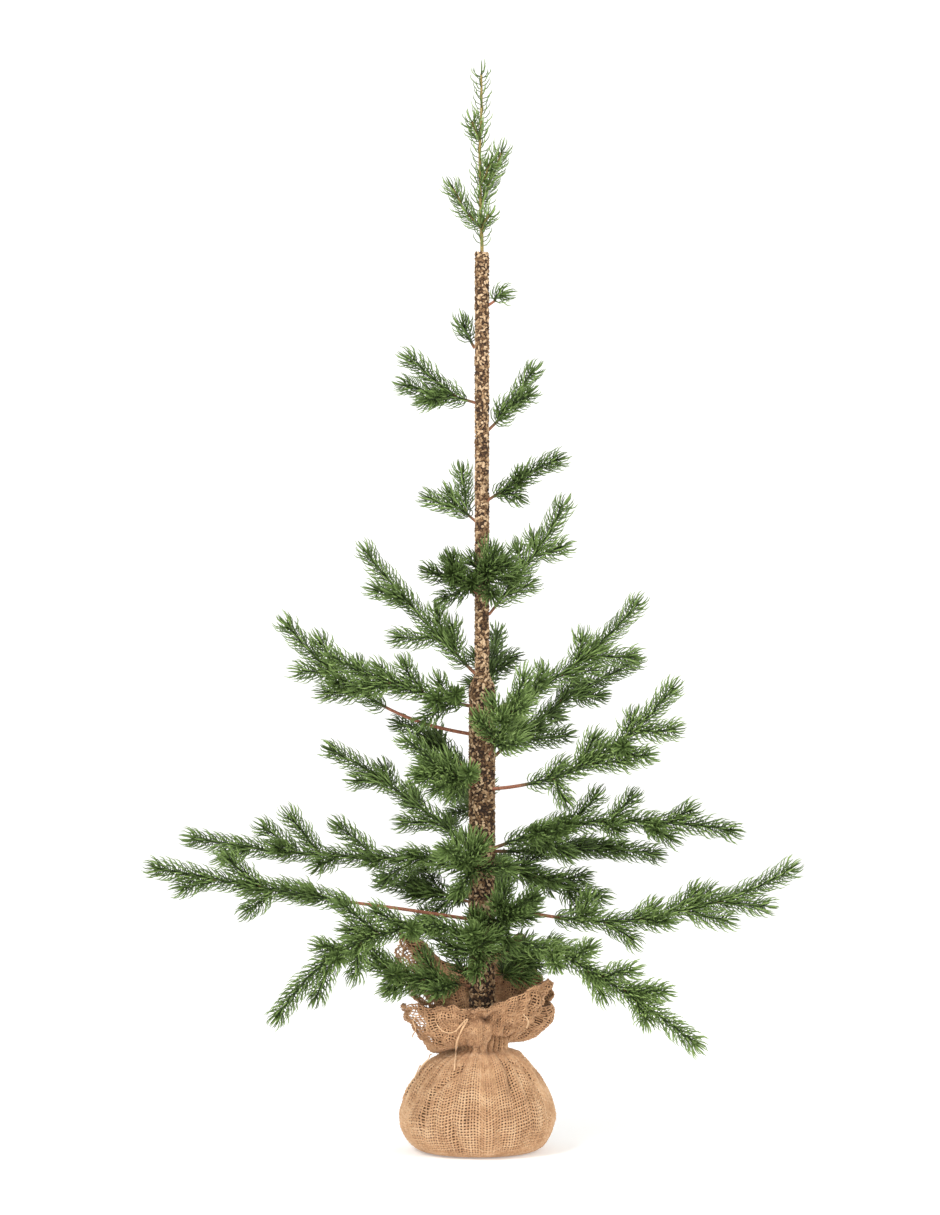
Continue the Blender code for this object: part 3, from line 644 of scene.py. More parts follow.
# %% The tree of nodes that sweeps stems
def make_stem_tree():
    tree, given, result = start_tree("taped_wires", {"Sides": "int", "Material": "material"})
    curve = add_node(tree, "GeometryNodeMeshToCurve", [("Mesh", given.outputs["Geometry"])])
    thick = add_node(tree, "GeometryNodeInputNamedAttribute", data_type="FLOAT", Name="thickness")
    smooth = add_node(tree, "GeometryNodeCurveSplineType", [("Curve", curve)],
                      spline_type="CATMULL_ROM")
    fine = add_node(tree, "GeometryNodeSetSplineResolution", [("Geometry", smooth)],
                    Resolution=2)
    ring = add_node(tree, "GeometryNodeCurvePrimitiveCircle", [
        ("Resolution", given.outputs["Sides"])], mode="RADIUS")
    ring.inputs["Radius"].default_value = 1.0
    swept = add_node(tree, "GeometryNodeCurveToMesh", [
        ("Curve", fine), ("Profile Curve", ring), ("Scale", thick)], Fill_Caps=True)
    rounded = add_node(tree, "GeometryNodeSetShadeSmooth", [("Geometry", swept)])
    end_tree(tree, given, result, rounded)
    return tree


stem_tree = make_stem_tree()
print(len(stem_tree.nodes), "nodes")

# %% Stem materials
TAPE_PITCH = 0.0035


def make_tape_material(name, stops):
    """Crepe paper tape: fibrous colour, a dull surface and the ridges of its overlapping turns."""
    material, tree, shader = new_material(name, 0.85)
    place = tree.nodes.new("ShaderNodeTexCoord")
    grain = add_node(tree, "ShaderNodeTexNoise", [("Vector", place.outputs["Object"])],
                     Scale=900.0, Detail=4.0)
    ramp = colour_ramp(tree, grain, stops)
    # The tape is mixed to a dark green where it runs inside the needles.
    dark_green_in_needles = add_node(tree, "ShaderNodeMix", [
        (0, attribute(tree, "in_needles")), (6, ramp)], data_type="RGBA")
    dark_green_in_needles.inputs[7].default_value = linear("#31401f")
    turns = add_node(tree, "ShaderNodeTexWave", [("Vector", place.outputs["Object"])],
                     bands_direction="DIAGONAL", Scale=1.0 / TAPE_PITCH / 3.2, Distortion=0.6)
    dress(tree, shader, dark_green_in_needles.outputs[2], turns.outputs["Fac"], 0.35, 0.0003)
    return material


tape_finish = make_tape_material("crepe_paper_tape", [
    (0.30, "#6f3d28"), (0.52, "#96614a"), (0.75, "#b98364")])
green_tape_finish = make_tape_material("green_paper_tape", [
    (0.30, "#7a6a34"), (0.52, "#94834a"), (0.75, "#ac9c62")])
print(tape_finish.name, green_tape_finish.name)

# %% Make the branches
NEEDLE_SPACING = 0.00040
LEADER_SPACING = 0.0013
# Degrees from twig to needle along it and at its end, and the length over which that changes.
LEAN, TIP_LEAN, TIP_REACH = 86.0, 58.0, 0.0022
CROWN = 0.0040      # end of a twig that is planted twice
ROOT_IN_BARK = 0.003


def crown_of(line):
    """The last few millimetres of a twig again, which doubles the needles that round its end."""
    back = line[-2] - line[-1]
    return [line[-1] + back.normalized() * CROWN * share for share in (1.0, 0.5, 0.0)]


def dress_branch(body):
    draw.seed(f"{SEED} {body}")
    twigs = twig_lines(body)
    # Painted light and shade: the branch's lightness from the table, lighter in front, darker behind.
    painted_light = BRANCHES[body][4]
    lines = []
    for line, start, *_ in twigs:
        at = start * (len(line) - 1)
        low = int(at)
        lines.append([line[low].lerp(line[low + 1], at - low)] + line[low + 1:])
    leader = body == "leader"
    lines += [crown_of(line) for line in lines] + (lines[1:] * 2 if leader else [])
    carrier = line_mesh(body, lines, {"branch_painted_light": [[painted_light] * len(line) for line in lines]})
    needles = grow(body + "_brush", carrier, bristle_tree, {
        "Needle": needle, "Spacing": LEADER_SPACING if leader else NEEDLE_SPACING,
        "Lean": math.radians(LEAN), "Tip lean": math.radians(TIP_LEAN), "Tip reach": TIP_REACH,
        "Seed": draw.randrange(1000),
        "Material": needle_finish})
    main = twigs[0][0]
    main[0] = main[0] - (main[1] - main[0]).normalized() * ROOT_IN_BARK
    stem_carrier = line_mesh(body + "_stem", [line for line, *_ in twigs], {
        "thickness": [[thick + (thin - thick) * i / (len(line) - 1) for i in range(len(line))]
                      for line, _, thick, thin in twigs],
        "in_needles": [[float(not leader and i / (len(line) - 1) >= start) for i in range(len(line))]
                       for line, start, *_ in twigs]})
    stem = grow(body + "_stem", stem_carrier, stem_tree, {
        "Sides": 8, "Material": green_tape_finish if leader else tape_finish})
    return needles, stem


brush_count = 0
for body in BRANCHES:
    needles, stem = dress_branch(body)
    for piece in (needles, stem):
        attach(piece, body)
    if body + "_needles" in frame["nodes"]:
        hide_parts(body + "_needles")
        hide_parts(body + "_wire")
    else:
        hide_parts(body)
    brush_count += len(needles.data.polygons)
bpy.data.objects.remove(needle, do_unlink=True)
print(brush_count, "faces of needles")

# %% [markdown]
# ## Bark
# The trunk is a steel rod, thickened below by a paper tube, with bark and cork crumbs glued all over
# it. The glue bed is a sleeve with a slight wobble. Thousands of flat, cracked crumbs of a few
# shapes are planted on it by Geometry Nodes, each with its own turn, tilt, size and shade, so the
# outline is ragged and the gaps between them go dark, as on the real thing.

# %% Bark crumbs and bed
CRUMB_SIZE = 0.0042
CRUMB_APART = 0.0019
BED_STEP = 0.004
CRUMB_SHAPES = 6
GLUE_DEPTH = 0.0009
BED_SIDES = 40


def make_crumb(name, sides):
    """A flat crumb with a broken outline, lying on the plane z = 0."""
    reach = [CRUMB_SIZE / 2 * draw.uniform(0.62, 1.15) for _ in range(sides)]
    points, faces = [], []
    for height, shrink in ((-0.0007, 1.0), (draw.uniform(0.0004, 0.0007), 0.86)):
        for side in range(sides):
            angle = 2 * math.pi * (side + draw.uniform(-0.2, 0.2)) / sides
            points.append((math.cos(angle) * reach[side] * shrink,
                           math.sin(angle) * reach[side] * shrink * 0.72,
                           height + draw.uniform(-0.00015, 0.00015)))
    points.append((0.0, 0.0, 0.0009))
    for side in range(sides):
        after = (side + 1) % sides
        faces.append((side, after, sides + after, sides + side))
        faces.append((sides + side, sides + after, 2 * sides))
    crumb = bpy.data.objects.new(name, new_mesh(name, points, faces))
    return crumb


def make_bed(name, profile):
    """A closed sleeve with a slight wobble from (radius, height) points, bottom first."""
    heights = [profile[0][1]]
    while heights[-1] + BED_STEP < profile[-1][1]:
        heights.append(heights[-1] + BED_STEP)
    heights.append(profile[-1][1])
    radii = np.interp(heights, [h for _, h in profile], [r for r, _ in profile])
    points = []
    for height, radius in zip(heights, radii):
        for side in range(BED_SIDES):
            angle = 2 * math.pi * side / BED_SIDES
            place = Vector((math.cos(angle) * 1.2, math.sin(angle) * 1.2, height * 60))
            around = radius * (1 + 0.05 * noise.noise(place)) - GLUE_DEPTH
            points.append((math.cos(angle) * around, math.sin(angle) * around, height))
    last = (len(heights) - 1) * BED_SIDES
    faces = ring_faces(len(heights), BED_SIDES)
    faces.append(tuple(range(BED_SIDES))[::-1])
    faces.append(tuple(range(last, last + BED_SIDES)))
    return new_mesh(name, points, faces)


crumbs = bpy.data.collections.new("crumbs")
draw.seed(SEED)
for number in range(CRUMB_SHAPES):
    crumbs.objects.link(make_crumb(f"crumb_{number}", 5 + number % 3))

# %% The tree of nodes that plants crumbs
def make_crumb_tree():
    tree, given, result = start_tree("crumbs_on_bark", {
        "Crumbs": "collection", "Apart": "float", "Tilt": "float", "Seed": "int",
        "Material": "material"})
    spread = add_node(tree, "GeometryNodeDistributePointsOnFaces", [
        ("Mesh", given.outputs["Geometry"]), ("Distance Min", given.outputs["Apart"]),
        ("Seed", given.outputs["Seed"])], distribute_method="POISSON")
    spread.inputs["Density Max"].default_value = 900000.0
    spin = add_node(tree, "FunctionNodeRandomValue", [("Seed", given.outputs["Seed"])],
                    data_type="FLOAT", _2=0.0, _3=2 * math.pi)
    lean_low = math_node(tree, "MULTIPLY", given.outputs["Tilt"], -1.0)
    lean = add_node(tree, "FunctionNodeRandomValue", [
        (2, lean_low), (3, given.outputs["Tilt"])], data_type="FLOAT", Seed=5)
    tilted = spin_and_tilt(tree, spread.outputs["Rotation"], spin.outputs[1], lean.outputs[1])
    size = add_node(tree, "FunctionNodeRandomValue", data_type="FLOAT_VECTOR", Seed=9)
    size.inputs[0].default_value = (0.60, 0.60, 0.7)
    size.inputs[1].default_value = (1.30, 1.25, 1.5)
    shapes = add_node(tree, "GeometryNodeCollectionInfo", [
        ("Collection", given.outputs["Crumbs"])])
    shapes.inputs["Separate Children"].default_value = True
    shapes.inputs["Reset Children"].default_value = True
    pick = add_node(tree, "FunctionNodeRandomValue", data_type="INT", Seed=11)
    pick.inputs[4].default_value, pick.inputs[5].default_value = 0, CRUMB_SHAPES - 1
    planted = add_node(tree, "GeometryNodeInstanceOnPoints", [
        ("Points", spread), ("Instance", shapes),
        ("Instance Index", pick.outputs[2]), ("Rotation", tilted),
        ("Scale", size)])
    planted.inputs["Pick Instance"].default_value = True
    shade = add_node(tree, "FunctionNodeRandomValue", data_type="FLOAT", Seed=17)
    stored = store(tree, planted, shade.outputs[1], "crumb_shade")
    joined = add_node(tree, "GeometryNodeJoinGeometry", [("Geometry", stored)])
    tree.links.new(given.outputs["Geometry"], joined.inputs[0])
    end_tree(tree, given, result, joined)
    return tree


crumb_tree = make_crumb_tree()
print(len(crumb_tree.nodes), "nodes")

# %% [markdown]
# Bark is dry and dull. The glue bed has no crumb shade, so it reads as the ramp's dark end. Fine
# grain breaks up each crumb's colour, and a bump gives its surface the roughness of cork. Lower
# down the bark is darker: painted shade from the branches above.

# %% Bark material
def make_bark_material():
    material, tree, shader = new_material("glued_cork_and_bark", 0.88)
    place = tree.nodes.new("ShaderNodeTexCoord")
    grain = add_node(tree, "ShaderNodeTexNoise", [("Vector", place.outputs["Object"])],
                     Scale=1100.0, Detail=5.0)
    mixed = math_node(tree, "MULTIPLY_ADD", attribute(tree, "crumb_shade"), 0.78, grain)
    height = add_node(tree, "ShaderNodeSeparateXYZ", [("Vector", place.outputs["Object"])])
    # Painted shade: the bark is darker towards the bottom, where the branches above shade it.
    painted_low_shade = map_range(tree, height.outputs["Z"], 0.15, 0.45, 0.50, 0.36)
    lowered = math_node(tree, "SUBTRACT", mixed, painted_low_shade)
    ramp = colour_ramp(tree, lowered, [
        (0.10, "#24150a"), (0.32, "#5e4229"), (0.56, "#90714f"), (0.88, "#cfb28f")])
    dress(tree, shader, ramp, grain, 0.6, 0.0006)
    return material


bark_finish = make_bark_material()
low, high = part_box("lower_bark")
_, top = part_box("upper_bark")
LOWER_RADIUS = high.x
UPPER_RADIUS = top.x
NARROWING = 0.012
lower_bed = make_bed("lower_bark_crumbs", [
    (LOWER_RADIUS, low.z), (LOWER_RADIUS, high.z - NARROWING), (UPPER_RADIUS, high.z)])
upper_bed = make_bed("upper_bark_crumbs", [(UPPER_RADIUS, high.z), (UPPER_RADIUS, top.z)])
for node, bed, seed in (("lower_bark", lower_bed, 3), ("upper_bark", upper_bed, 4)):
    bark = grow(node + "_crumbs", bed, crumb_tree, {
        "Crumbs": crumbs, "Apart": CRUMB_APART, "Tilt": math.radians(20), "Seed": seed,
        "Material": bark_finish})
    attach(bark, "stand")
    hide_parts(node)
    print(node, len(bark.data.polygons), "faces")
for crumb in list(crumbs.objects):
    bpy.data.objects.remove(crumb, do_unlink=True)

# %% [markdown]
# ## The burlap wrap
# A weighted tub stands in a rectangle of loose jute cloth. The cloth is drawn up round it, gathered
# in pleats at the neck and left open above as a ragged collar. Its two free edges part at the left.
# The cloth here is one surface of columns: each column has its own outline from foot to rim, drawn
# through a few measured points, and pleats and creases push it in and out. It keeps a UV map, so
# that real crossing yarns can be laid on it afterwards.

# %% Outline of the cloth at each side
COLUMNS, ROWS = 600, 150
# Front angles at which the cloth starts, low down and in the collar, and how far the collar goes.
BODY_SEAM, COLLAR_SEAM, COLLAR_TURN = -98.0, -80.0, 336.0
FLOOR_CLEARANCE = 0.0018        # lowest place of the cloth, which leaves room for the yarns
LOWER_OUTLINE = [(38.0, 1.8), (47.0, 1.8), (55.5, 6.5), (61.5, 16.5), (64.2, 30.0), (60.0, 45.0),
                 (51.5, 60.0), (41.0, 73.0), (29.0, 81.0), (18.6, 84.5), (18.8, 90.0)]
# Front angle (0 front, 90 right), then radius and height of three points and of the rim, in mm.
COLLAR = [(-80, 40, 82, 54, 96, 63, 110, 70, 123), (-55, 40, 87, 52, 100, 60, 113, 66, 125),
          (-34, 32, 92, 44, 106, 49, 116, 52, 125), (-20, 33, 94, 41, 108, 42, 117, 47, 124),
          (-7, 35, 93, 41, 107, 27, 113, 44, 122), (8, 29, 94, 34, 105, 25, 112, 44, 123),
          (20, 20, 99, 31, 101, 36, 115, 46, 128), (38, 20, 101, 35, 100, 48, 118, 56, 137),
          (60, 20, 102, 38, 101, 56, 123, 65, 146), (76, 21, 101, 31, 102, 45, 121, 53, 138),
          (88, 22, 96, 26, 104, 32, 112, 40, 122), (102, 40, 92, 56, 102, 62, 112, 61, 120),
          (122, 34, 98, 46, 114, 50, 130, 54, 146), (142, 30, 100, 42, 122, 52, 148, 62, 176),
          (180, 28, 98, 36, 114, 44, 132, 50, 150), (208, 30, 98, 40, 114, 50, 132, 60, 150),
          (234, 36, 100, 54, 124, 70, 150, 86, 177), (256, 38, 98, 52, 114, 62, 130, 72, 146)]
COLLAR_START = len(LOWER_OUTLINE)


def smooth_through(values, places, at):
    """Catmull-Rom through rows of values at the given places, read at other places."""
    values, places, at = np.asarray(values, float), np.asarray(places, float), np.asarray(at)
    if values.ndim == 1:
        values = values[:, None]
    slopes = np.gradient(values, places, axis=0)
    i = np.clip(np.searchsorted(places, at) - 1, 0, len(places) - 2)
    gap = (places[i + 1] - places[i])[:, None]
    t = np.clip((at - places[i])[:, None] / gap, 0.0, 1.0)
    a, b, c, d = (2 * t ** 3 - 3 * t ** 2 + 1, t ** 3 - 2 * t ** 2 + t,
                  3 * t ** 2 - 2 * t ** 3, t ** 3 - t ** 2)
    return a * values[i] + b * gap * slopes[i] + c * values[i + 1] + d * gap * slopes[i + 1]


def smoothstep(low, high, x):
    t = np.clip((x - low) / (high - low), 0.0, 1.0)
    return t * t * (3 - 2 * t)


across = np.linspace(0.0, 1.0, COLUMNS)
body_angle = BODY_SEAM + 360.0 * across
collar_angle = COLLAR_SEAM + COLLAR_TURN * across
outlines = []
for column in range(COLUMNS):
    angle = math.radians(body_angle[column])
    lopsided = 1.0 - 0.065 * math.sin(angle)
    points = [(r * (lopsided if 0 < i < 8 else 1.0), z) for i, (r, z) in enumerate(LOWER_OUTLINE)]
    tongue = 6.5 * math.exp(-((body_angle[column] + 9) / 15) ** 2)
    points[8:] = [(r + tongue * (0.5 if i == 0 else 1.0), z) for i, (r, z) in enumerate(points[8:])]
    row = smooth_through([c[1:] for c in COLLAR], [c[0] for c in COLLAR],
                         collar_angle[column:column + 1])[0]
    points += [(row[0], row[1]), (row[2], row[3]), (row[4], row[5]), (row[6], row[7])]
    outlines.append(points)
outlines = np.array(outlines)
print("outline points", outlines.shape)

# %% [markdown]
# Pleats follow the yarns. They are deep and tight at the neck, die out over the shoulder, and open
# into wide waves in the collar. Each pleat has a round ridge and a sharp valley. Beside them run
# a few longer creases, where slack cloth is folded over itself.

# %% The cloth surface
PLEATS = 23
# For each outline point: how deep the pleats are there, in mm.
PLEAT_DEPTH = [0, 0, 0, 0.1, 0.3, 0.8, 1.6, 3.2, 5.2, 6.4, 6.2, 4.4, 3.2, 3.2, 4.6]
# Creases: depth and half width in mm, then (front angle, height in mm) from the top down.
CREASES = [(2.8, 2.6, [(-18, 78), (-24, 69), (-33, 62), (-41, 55), (-44, 42), (-47, 22)]),
           (3.6, 3.0, [(0, 80), (1, 70), (2, 57)]),
           (3.0, 2.7, [(24, 80), (30, 72), (28, 62), (25, 52)]),
           (2.8, 2.6, [(34, 80), (43, 74), (55, 68), (62, 58)]),
           (2.2, 3.0, [(-62, 76), (-60, 66), (-62, 52)]),
           (2.0, 3.4, [(-6, 56), (-10, 40), (-8, 26)]),
           (2.4, 3.2, [(-22, 30), (-19, 17), (-15, 5)]),
           (2.4, 3.2, [(11, 28), (14, 16), (20, 5)]),
           (2.4, 2.6, [(-72, 76), (-80, 60), (-82, 46)]),
           (2.4, 2.6, [(96, 76), (101, 62), (98, 50)]),
           (3.0, 2.6, [(140, 78), (134, 62), (136, 40)]),
           (3.0, 2.6, [(186, 80), (190, 64), (184, 46)]),
           (2.6, 2.6, [(228, 78), (236, 62), (240, 44)])]


def column_points(column):
    """One column of the cloth, foot to rim, at even distances along it."""
    outline = outlines[column]
    steps = np.linspace(0, len(outline) - 1, 500)
    rz = smooth_through(outline, np.arange(len(outline)), steps)
    share = across[column]
    wander = noise.noise(Vector((share * 9.0, 3.3, 1.7)))
    fold = abs(math.sin(math.pi * (PLEATS * share + 0.55 * wander)))
    wide = abs(math.sin(math.pi * (PLEATS * 0.36 * share + 0.8 * wander + 0.3)))
    depth = np.interp(steps, np.arange(len(PLEAT_DEPTH)), PLEAT_DEPTH)
    opened = smoothstep(COLLAR_START - 0.5, COLLAR_START + 1.5, steps)
    rz[:, 0] += depth * ((fold - 0.62) * (1 - opened) + (wide - 0.60) * opened)
    rz[:, 1] += opened * 3.0 * (wide - 0.5) + opened * 2.0 * (fold - 0.6)
    turn = smoothstep(COLLAR_START - 1.2, COLLAR_START + 0.2, steps)
    angle = body_angle[column] * (1 - turn) + collar_angle[column] * turn
    for deep, half, line in CREASES:
        line_angle = np.interp(rz[:, 1], [z for _, z in line[::-1]], [a for a, _ in line[::-1]])
        off = (angle - line_angle + 180) % 360 - 180
        off = np.radians(off) * rz[:, 0]
        fade = smoothstep(line[-1][1] - 6, line[-1][1] + 8, rz[:, 1]) \
            * (1 - smoothstep(line[0][1], line[0][1] + 5, rz[:, 1])) * (steps < COLLAR_START)
        rz[:, 0] += fade * deep * (0.55 * np.exp(-((off + 2.1 * half) / (1.7 * half)) ** 2)
                                   - np.exp(-(off / half) ** 2))
    angle = np.radians(angle)
    place = np.stack([rz[:, 0] * np.sin(angle), -rz[:, 0] * np.cos(angle), rz[:, 1]], 1)
    billow = np.array([noise.noise(Vector(p * 0.055)) for p in place]) * 2.2
    crumple = np.array([noise.noise(Vector(p * 0.10 + Vector((9, 4, 2)))) for p in place])
    billow += np.array([noise.noise(Vector(p * 0.16)) for p in place]) * 0.7
    billow += (abs(crumple) - 0.25) * 9.0 * smoothstep(COLLAR_START - 0.5, COLLAR_START + 1, steps)
    place[:, 0] += np.sin(angle) * billow * smoothstep(0.5, 3.0, steps)
    place[:, 1] -= np.cos(angle) * billow * smoothstep(0.5, 3.0, steps)
    run = np.concatenate([[0.0], np.cumsum(np.linalg.norm(np.diff(place, axis=0), axis=1))])
    even = np.linspace(0.0, run[-1], ROWS)
    return np.stack([np.interp(even, run, place[:, axis]) for axis in range(3)], 1) / 1000, run[-1]


columns = [column_points(column) for column in range(COLUMNS)]
surface = np.array([points for points, _ in columns])
surface[:, :, 2] = np.maximum(surface[:, :, 2], FLOOR_CLEARANCE)
heights = [length for _, length in columns]
girths = np.linalg.norm(np.diff(surface, axis=0), axis=2).sum(0) * 1000
print("columns", round(min(heights)), "to", round(max(heights)), "mm, rows",
      round(girths.min()), "to", round(girths.max()), "mm")

# %% The cloth as a mesh with a UV map
def make_cloth(name, grid):
    rows = grid.shape[1]
    points = grid.reshape(-1, 3)
    faces, uvs = [], []
    for i in range(grid.shape[0] - 1):
        for j in range(rows - 1):
            faces.append((i * rows + j, (i + 1) * rows + j, (i + 1) * rows + j + 1, i * rows + j + 1))
            for a, b in ((i, j), (i + 1, j), (i + 1, j + 1), (i, j + 1)):
                uvs += [a / (grid.shape[0] - 1), b / (rows - 1)]
    mesh = new_mesh(name, points.tolist(), faces)
    mesh.uv_layers.new(name="UVMap").data.foreach_set("uv", uvs)
    mesh.shade_smooth()
    return new_object(name, mesh)


cloth = make_cloth("burlap_cloth", surface)
cloth_area = sum(polygon.area for polygon in cloth.data.polygons)
print(len(cloth.data.polygons), "faces, area m2", round(cloth_area, 4))

# %% [markdown]
# ## Yarns
# Burlap is a plain weave of thick, uneven jute yarns, so open that each crossing shows. Geometry
# Nodes lay one straight line for each yarn over the UV map, look up where the cloth is at every
# point of it, and lift it over and under the yarns it crosses. The same tree makes both directions.

# %% The tree of nodes that weaves
WARPS, WEFTS = 156, 78
YARN_RADIUS = 0.00077
YARN_LIFT = 0.00068


def make_weave_tree():
    tree, given, result = start_tree("woven_yarns", {
        "Yarns": "int", "Crossed": "int", "Across": "bool", "Radius": "float", "Lift": "float",
        "Ragged": "float", "Seed": "int", "Material": "material"})
    yarns, crossed = given.outputs["Yarns"], given.outputs["Crossed"]
    row = add_node(tree, "GeometryNodeMeshLine", [("Count", yarns)], mode="OFFSET")
    row.inputs["Offset"].default_value = (0.0, 0.0, 0.0)
    line = add_node(tree, "GeometryNodeCurvePrimitiveLine", mode="POINTS")
    line.inputs["End"].default_value = (1.0, 0.0, 0.0)
    samples = math_node(tree, "MULTIPLY_ADD", crossed, 2.0, 1.0)
    fine = add_node(tree, "GeometryNodeResampleCurve", [
        ("Curve", line), ("Count", samples)], mode="COUNT")
    laid = add_node(tree, "GeometryNodeInstanceOnPoints", [
        ("Points", row), ("Instance", fine)])
    number = add_node(tree, "GeometryNodeInputIndex")
    end = add_node(tree, "FunctionNodeRandomValue", [("Seed", given.outputs["Seed"])],
                   data_type="FLOAT", _2=0.0, _3=1.0)
    numbered = store(tree, laid, number, "yarn")
    shaded = store(tree, numbered, end.outputs[1], "yarn_shade")
    real = add_node(tree, "GeometryNodeRealizeInstances", [("Geometry", shaded)])
    yarn, shade = [add_node(tree, "GeometryNodeInputNamedAttribute", data_type="FLOAT", Name=name)
                   for name in ("yarn", "yarn_shade")]
    run = add_node(tree, "GeometryNodeSplineParameter")
    cut = math_node(tree, "MULTIPLY", shade, given.outputs["Ragged"])
    kept = math_node(tree, "SUBTRACT", 1.0, cut)
    along_it = math_node(tree, "MULTIPLY", run.outputs["Factor"], kept)
    beside = math_node(tree, "DIVIDE", math_node(tree, "ADD", yarn, 0.5), yarns)
    wobble = add_node(tree, "ShaderNodeTexNoise", noise_dimensions="2D", Scale=14.0, Detail=1.0)
    spot = add_node(tree, "ShaderNodeCombineXYZ", [
        ("X", math_node(tree, "MULTIPLY", along_it, 1.7)),
        ("Y", math_node(tree, "MULTIPLY", yarn, 0.37))])
    tree.links.new(spot.outputs[0], wobble.inputs["Vector"])
    sway = math_node(tree, "DIVIDE", math_node(tree, "SUBTRACT", wobble, 0.5), yarns)
    beside = math_node(tree, "ADD", beside, math_node(tree, "MULTIPLY", sway, 0.22))
    upright = add_node(tree, "ShaderNodeCombineXYZ", [("X", beside), ("Y", along_it)])
    level = add_node(tree, "ShaderNodeCombineXYZ", [("X", along_it), ("Y", beside)])
    chosen = add_node(tree, "GeometryNodeSwitch", [
        ("Switch", given.outputs["Across"]), ("False", upright),
        ("True", level)], input_type="VECTOR")
    found = []
    map_of_cloth = add_node(tree, "GeometryNodeInputNamedAttribute", data_type="FLOAT_VECTOR",
                            Name="UVMap")
    for field in (add_node(tree, "GeometryNodeInputPosition"),
                  add_node(tree, "GeometryNodeInputNormal")):
        sample = add_node(tree, "GeometryNodeSampleUVSurface", data_type="FLOAT_VECTOR")
        tree.links.new(given.outputs["Geometry"], sample.inputs["Mesh"])
        tree.links.new(field.outputs[0], sample.inputs["Value"])
        tree.links.new(map_of_cloth.outputs[0], sample.inputs["UV Map"])
        tree.links.new(chosen.outputs[0], sample.inputs["Sample UV"])
        found.append(sample.outputs["Value"])
    phase = math_node(tree, "MULTIPLY_ADD", along_it, crossed, -0.5)
    flip = add_node(tree, "GeometryNodeSwitch", [("Switch", given.outputs["Across"])],
                    input_type="FLOAT")
    flip.inputs["False"].default_value, flip.inputs["True"].default_value = 0.0, 1.0
    turns = math_node(tree, "ADD", math_node(tree, "ADD", phase, yarn), flip)
    wave = math_node(tree, "COSINE", math_node(tree, "MULTIPLY", turns, math.pi))
    lift = math_node(tree, "MULTIPLY", wave, given.outputs["Lift"])
    raised = add_node(tree, "ShaderNodeVectorMath", [(0, found[1]), ("Scale", lift)],
                      operation="SCALE")
    place = add_node(tree, "ShaderNodeVectorMath", [(0, found[0]), (1, raised)],
                     operation="ADD")
    moved = add_node(tree, "GeometryNodeSetPosition", [
        ("Geometry", real), ("Position", place)])
    ring = add_node(tree, "GeometryNodeCurvePrimitiveCircle", mode="RADIUS", Resolution=4)
    ring.inputs["Radius"].default_value = 1.0
    on_map = add_node(tree, "ShaderNodeSeparateXYZ", [("Vector", chosen)])
    from_middle = math_node(tree, "ABSOLUTE", math_node(tree, "SUBTRACT", on_map.outputs["X"], 0.5))
    at_edge = map_range(tree, from_middle, 0.40, 0.46)
    high_up = map_range(tree, on_map.outputs["Y"], 0.66, 0.72)
    open_weave = math_node(tree, "MULTIPLY", at_edge, high_up)
    thin = math_node(tree, "MULTIPLY_ADD", open_weave, -0.35, 1.0)
    uneven = math_node(tree, "MULTIPLY_ADD", wobble, 0.3, 0.85)
    thick = math_node(tree, "MULTIPLY", given.outputs["Radius"],
                      math_node(tree, "MULTIPLY", uneven, thin))
    swept = add_node(tree, "GeometryNodeCurveToMesh", [
        ("Curve", moved), ("Profile Curve", ring), ("Scale", thick)])
    rounded = add_node(tree, "GeometryNodeSetShadeSmooth", [("Geometry", swept)])
    end_tree(tree, given, result, rounded)
    return tree


weave_tree = make_weave_tree()
print(len(weave_tree.nodes), "nodes")

# %% [markdown]
# Jute yarn is matte, hairy and uneven: straw to tan, with darker lengths. The cloth under the yarns
# is the same fibre in shade, so the small openings of the weave read dark.

# %% Jute materials
COLLAR_PAINTED_SHADE = 0.11      # how much painted shade darkens the collar's cloth and yarns, for the shade of its folds and of the branches above


def make_jute_material(name, stops, roughness):
    material, tree, shader = new_material(name, roughness)
    place = tree.nodes.new("ShaderNodeTexCoord")
    slub = add_node(tree, "ShaderNodeTexNoise", [("Vector", place.outputs["Object"])],
                    Scale=70.0, Detail=3.0)
    fibre = add_node(tree, "ShaderNodeTexNoise", [("Vector", place.outputs["Object"])],
                     Scale=1500.0, Detail=4.0)
    mixed = math_node(tree, "MULTIPLY_ADD", attribute(tree, "yarn_shade"), 0.14,
                      math_node(tree, "MULTIPLY_ADD", slub, 0.5,
                                math_node(tree, "MULTIPLY", fibre, 0.42)))
    up = add_node(tree, "ShaderNodeSeparateXYZ", [("Vector", place.outputs["Object"])])
    # Painted shade: everything above the neck is darkened, for the shade in the collar's folds.
    above = map_range(tree, up.outputs["Z"], 0.078, 0.094)
    mixed = math_node(tree, "SUBTRACT", mixed,
                      math_node(tree, "MULTIPLY", above, COLLAR_PAINTED_SHADE))
    ramp = colour_ramp(tree, mixed, stops)
    dress(tree, shader, ramp, fibre, 0.5, 0.0003)
    shader.inputs["Sheen Weight"].default_value = 0.12
    shader.inputs["Sheen Roughness"].default_value = 0.6
    shader.inputs["Specular IOR Level"].default_value = 0.15
    return material


jute_finish = make_jute_material("natural_jute_yarn", [
    (0.28, "#9a7250"), (0.50, "#c69c75"), (0.78, "#e6c6a1")], 0.95)
pale_finish = make_jute_material("pale_jute_fibre", [
    (0.28, "#d3ab82"), (0.50, "#e5c39c"), (0.78, "#f0d8b8")], 0.95)
ground_finish = make_jute_material("jute_in_shade", [
    (0.20, "#2c1b0f"), (0.50, "#452d1b"), (0.80, "#5e422b")], 1.0)


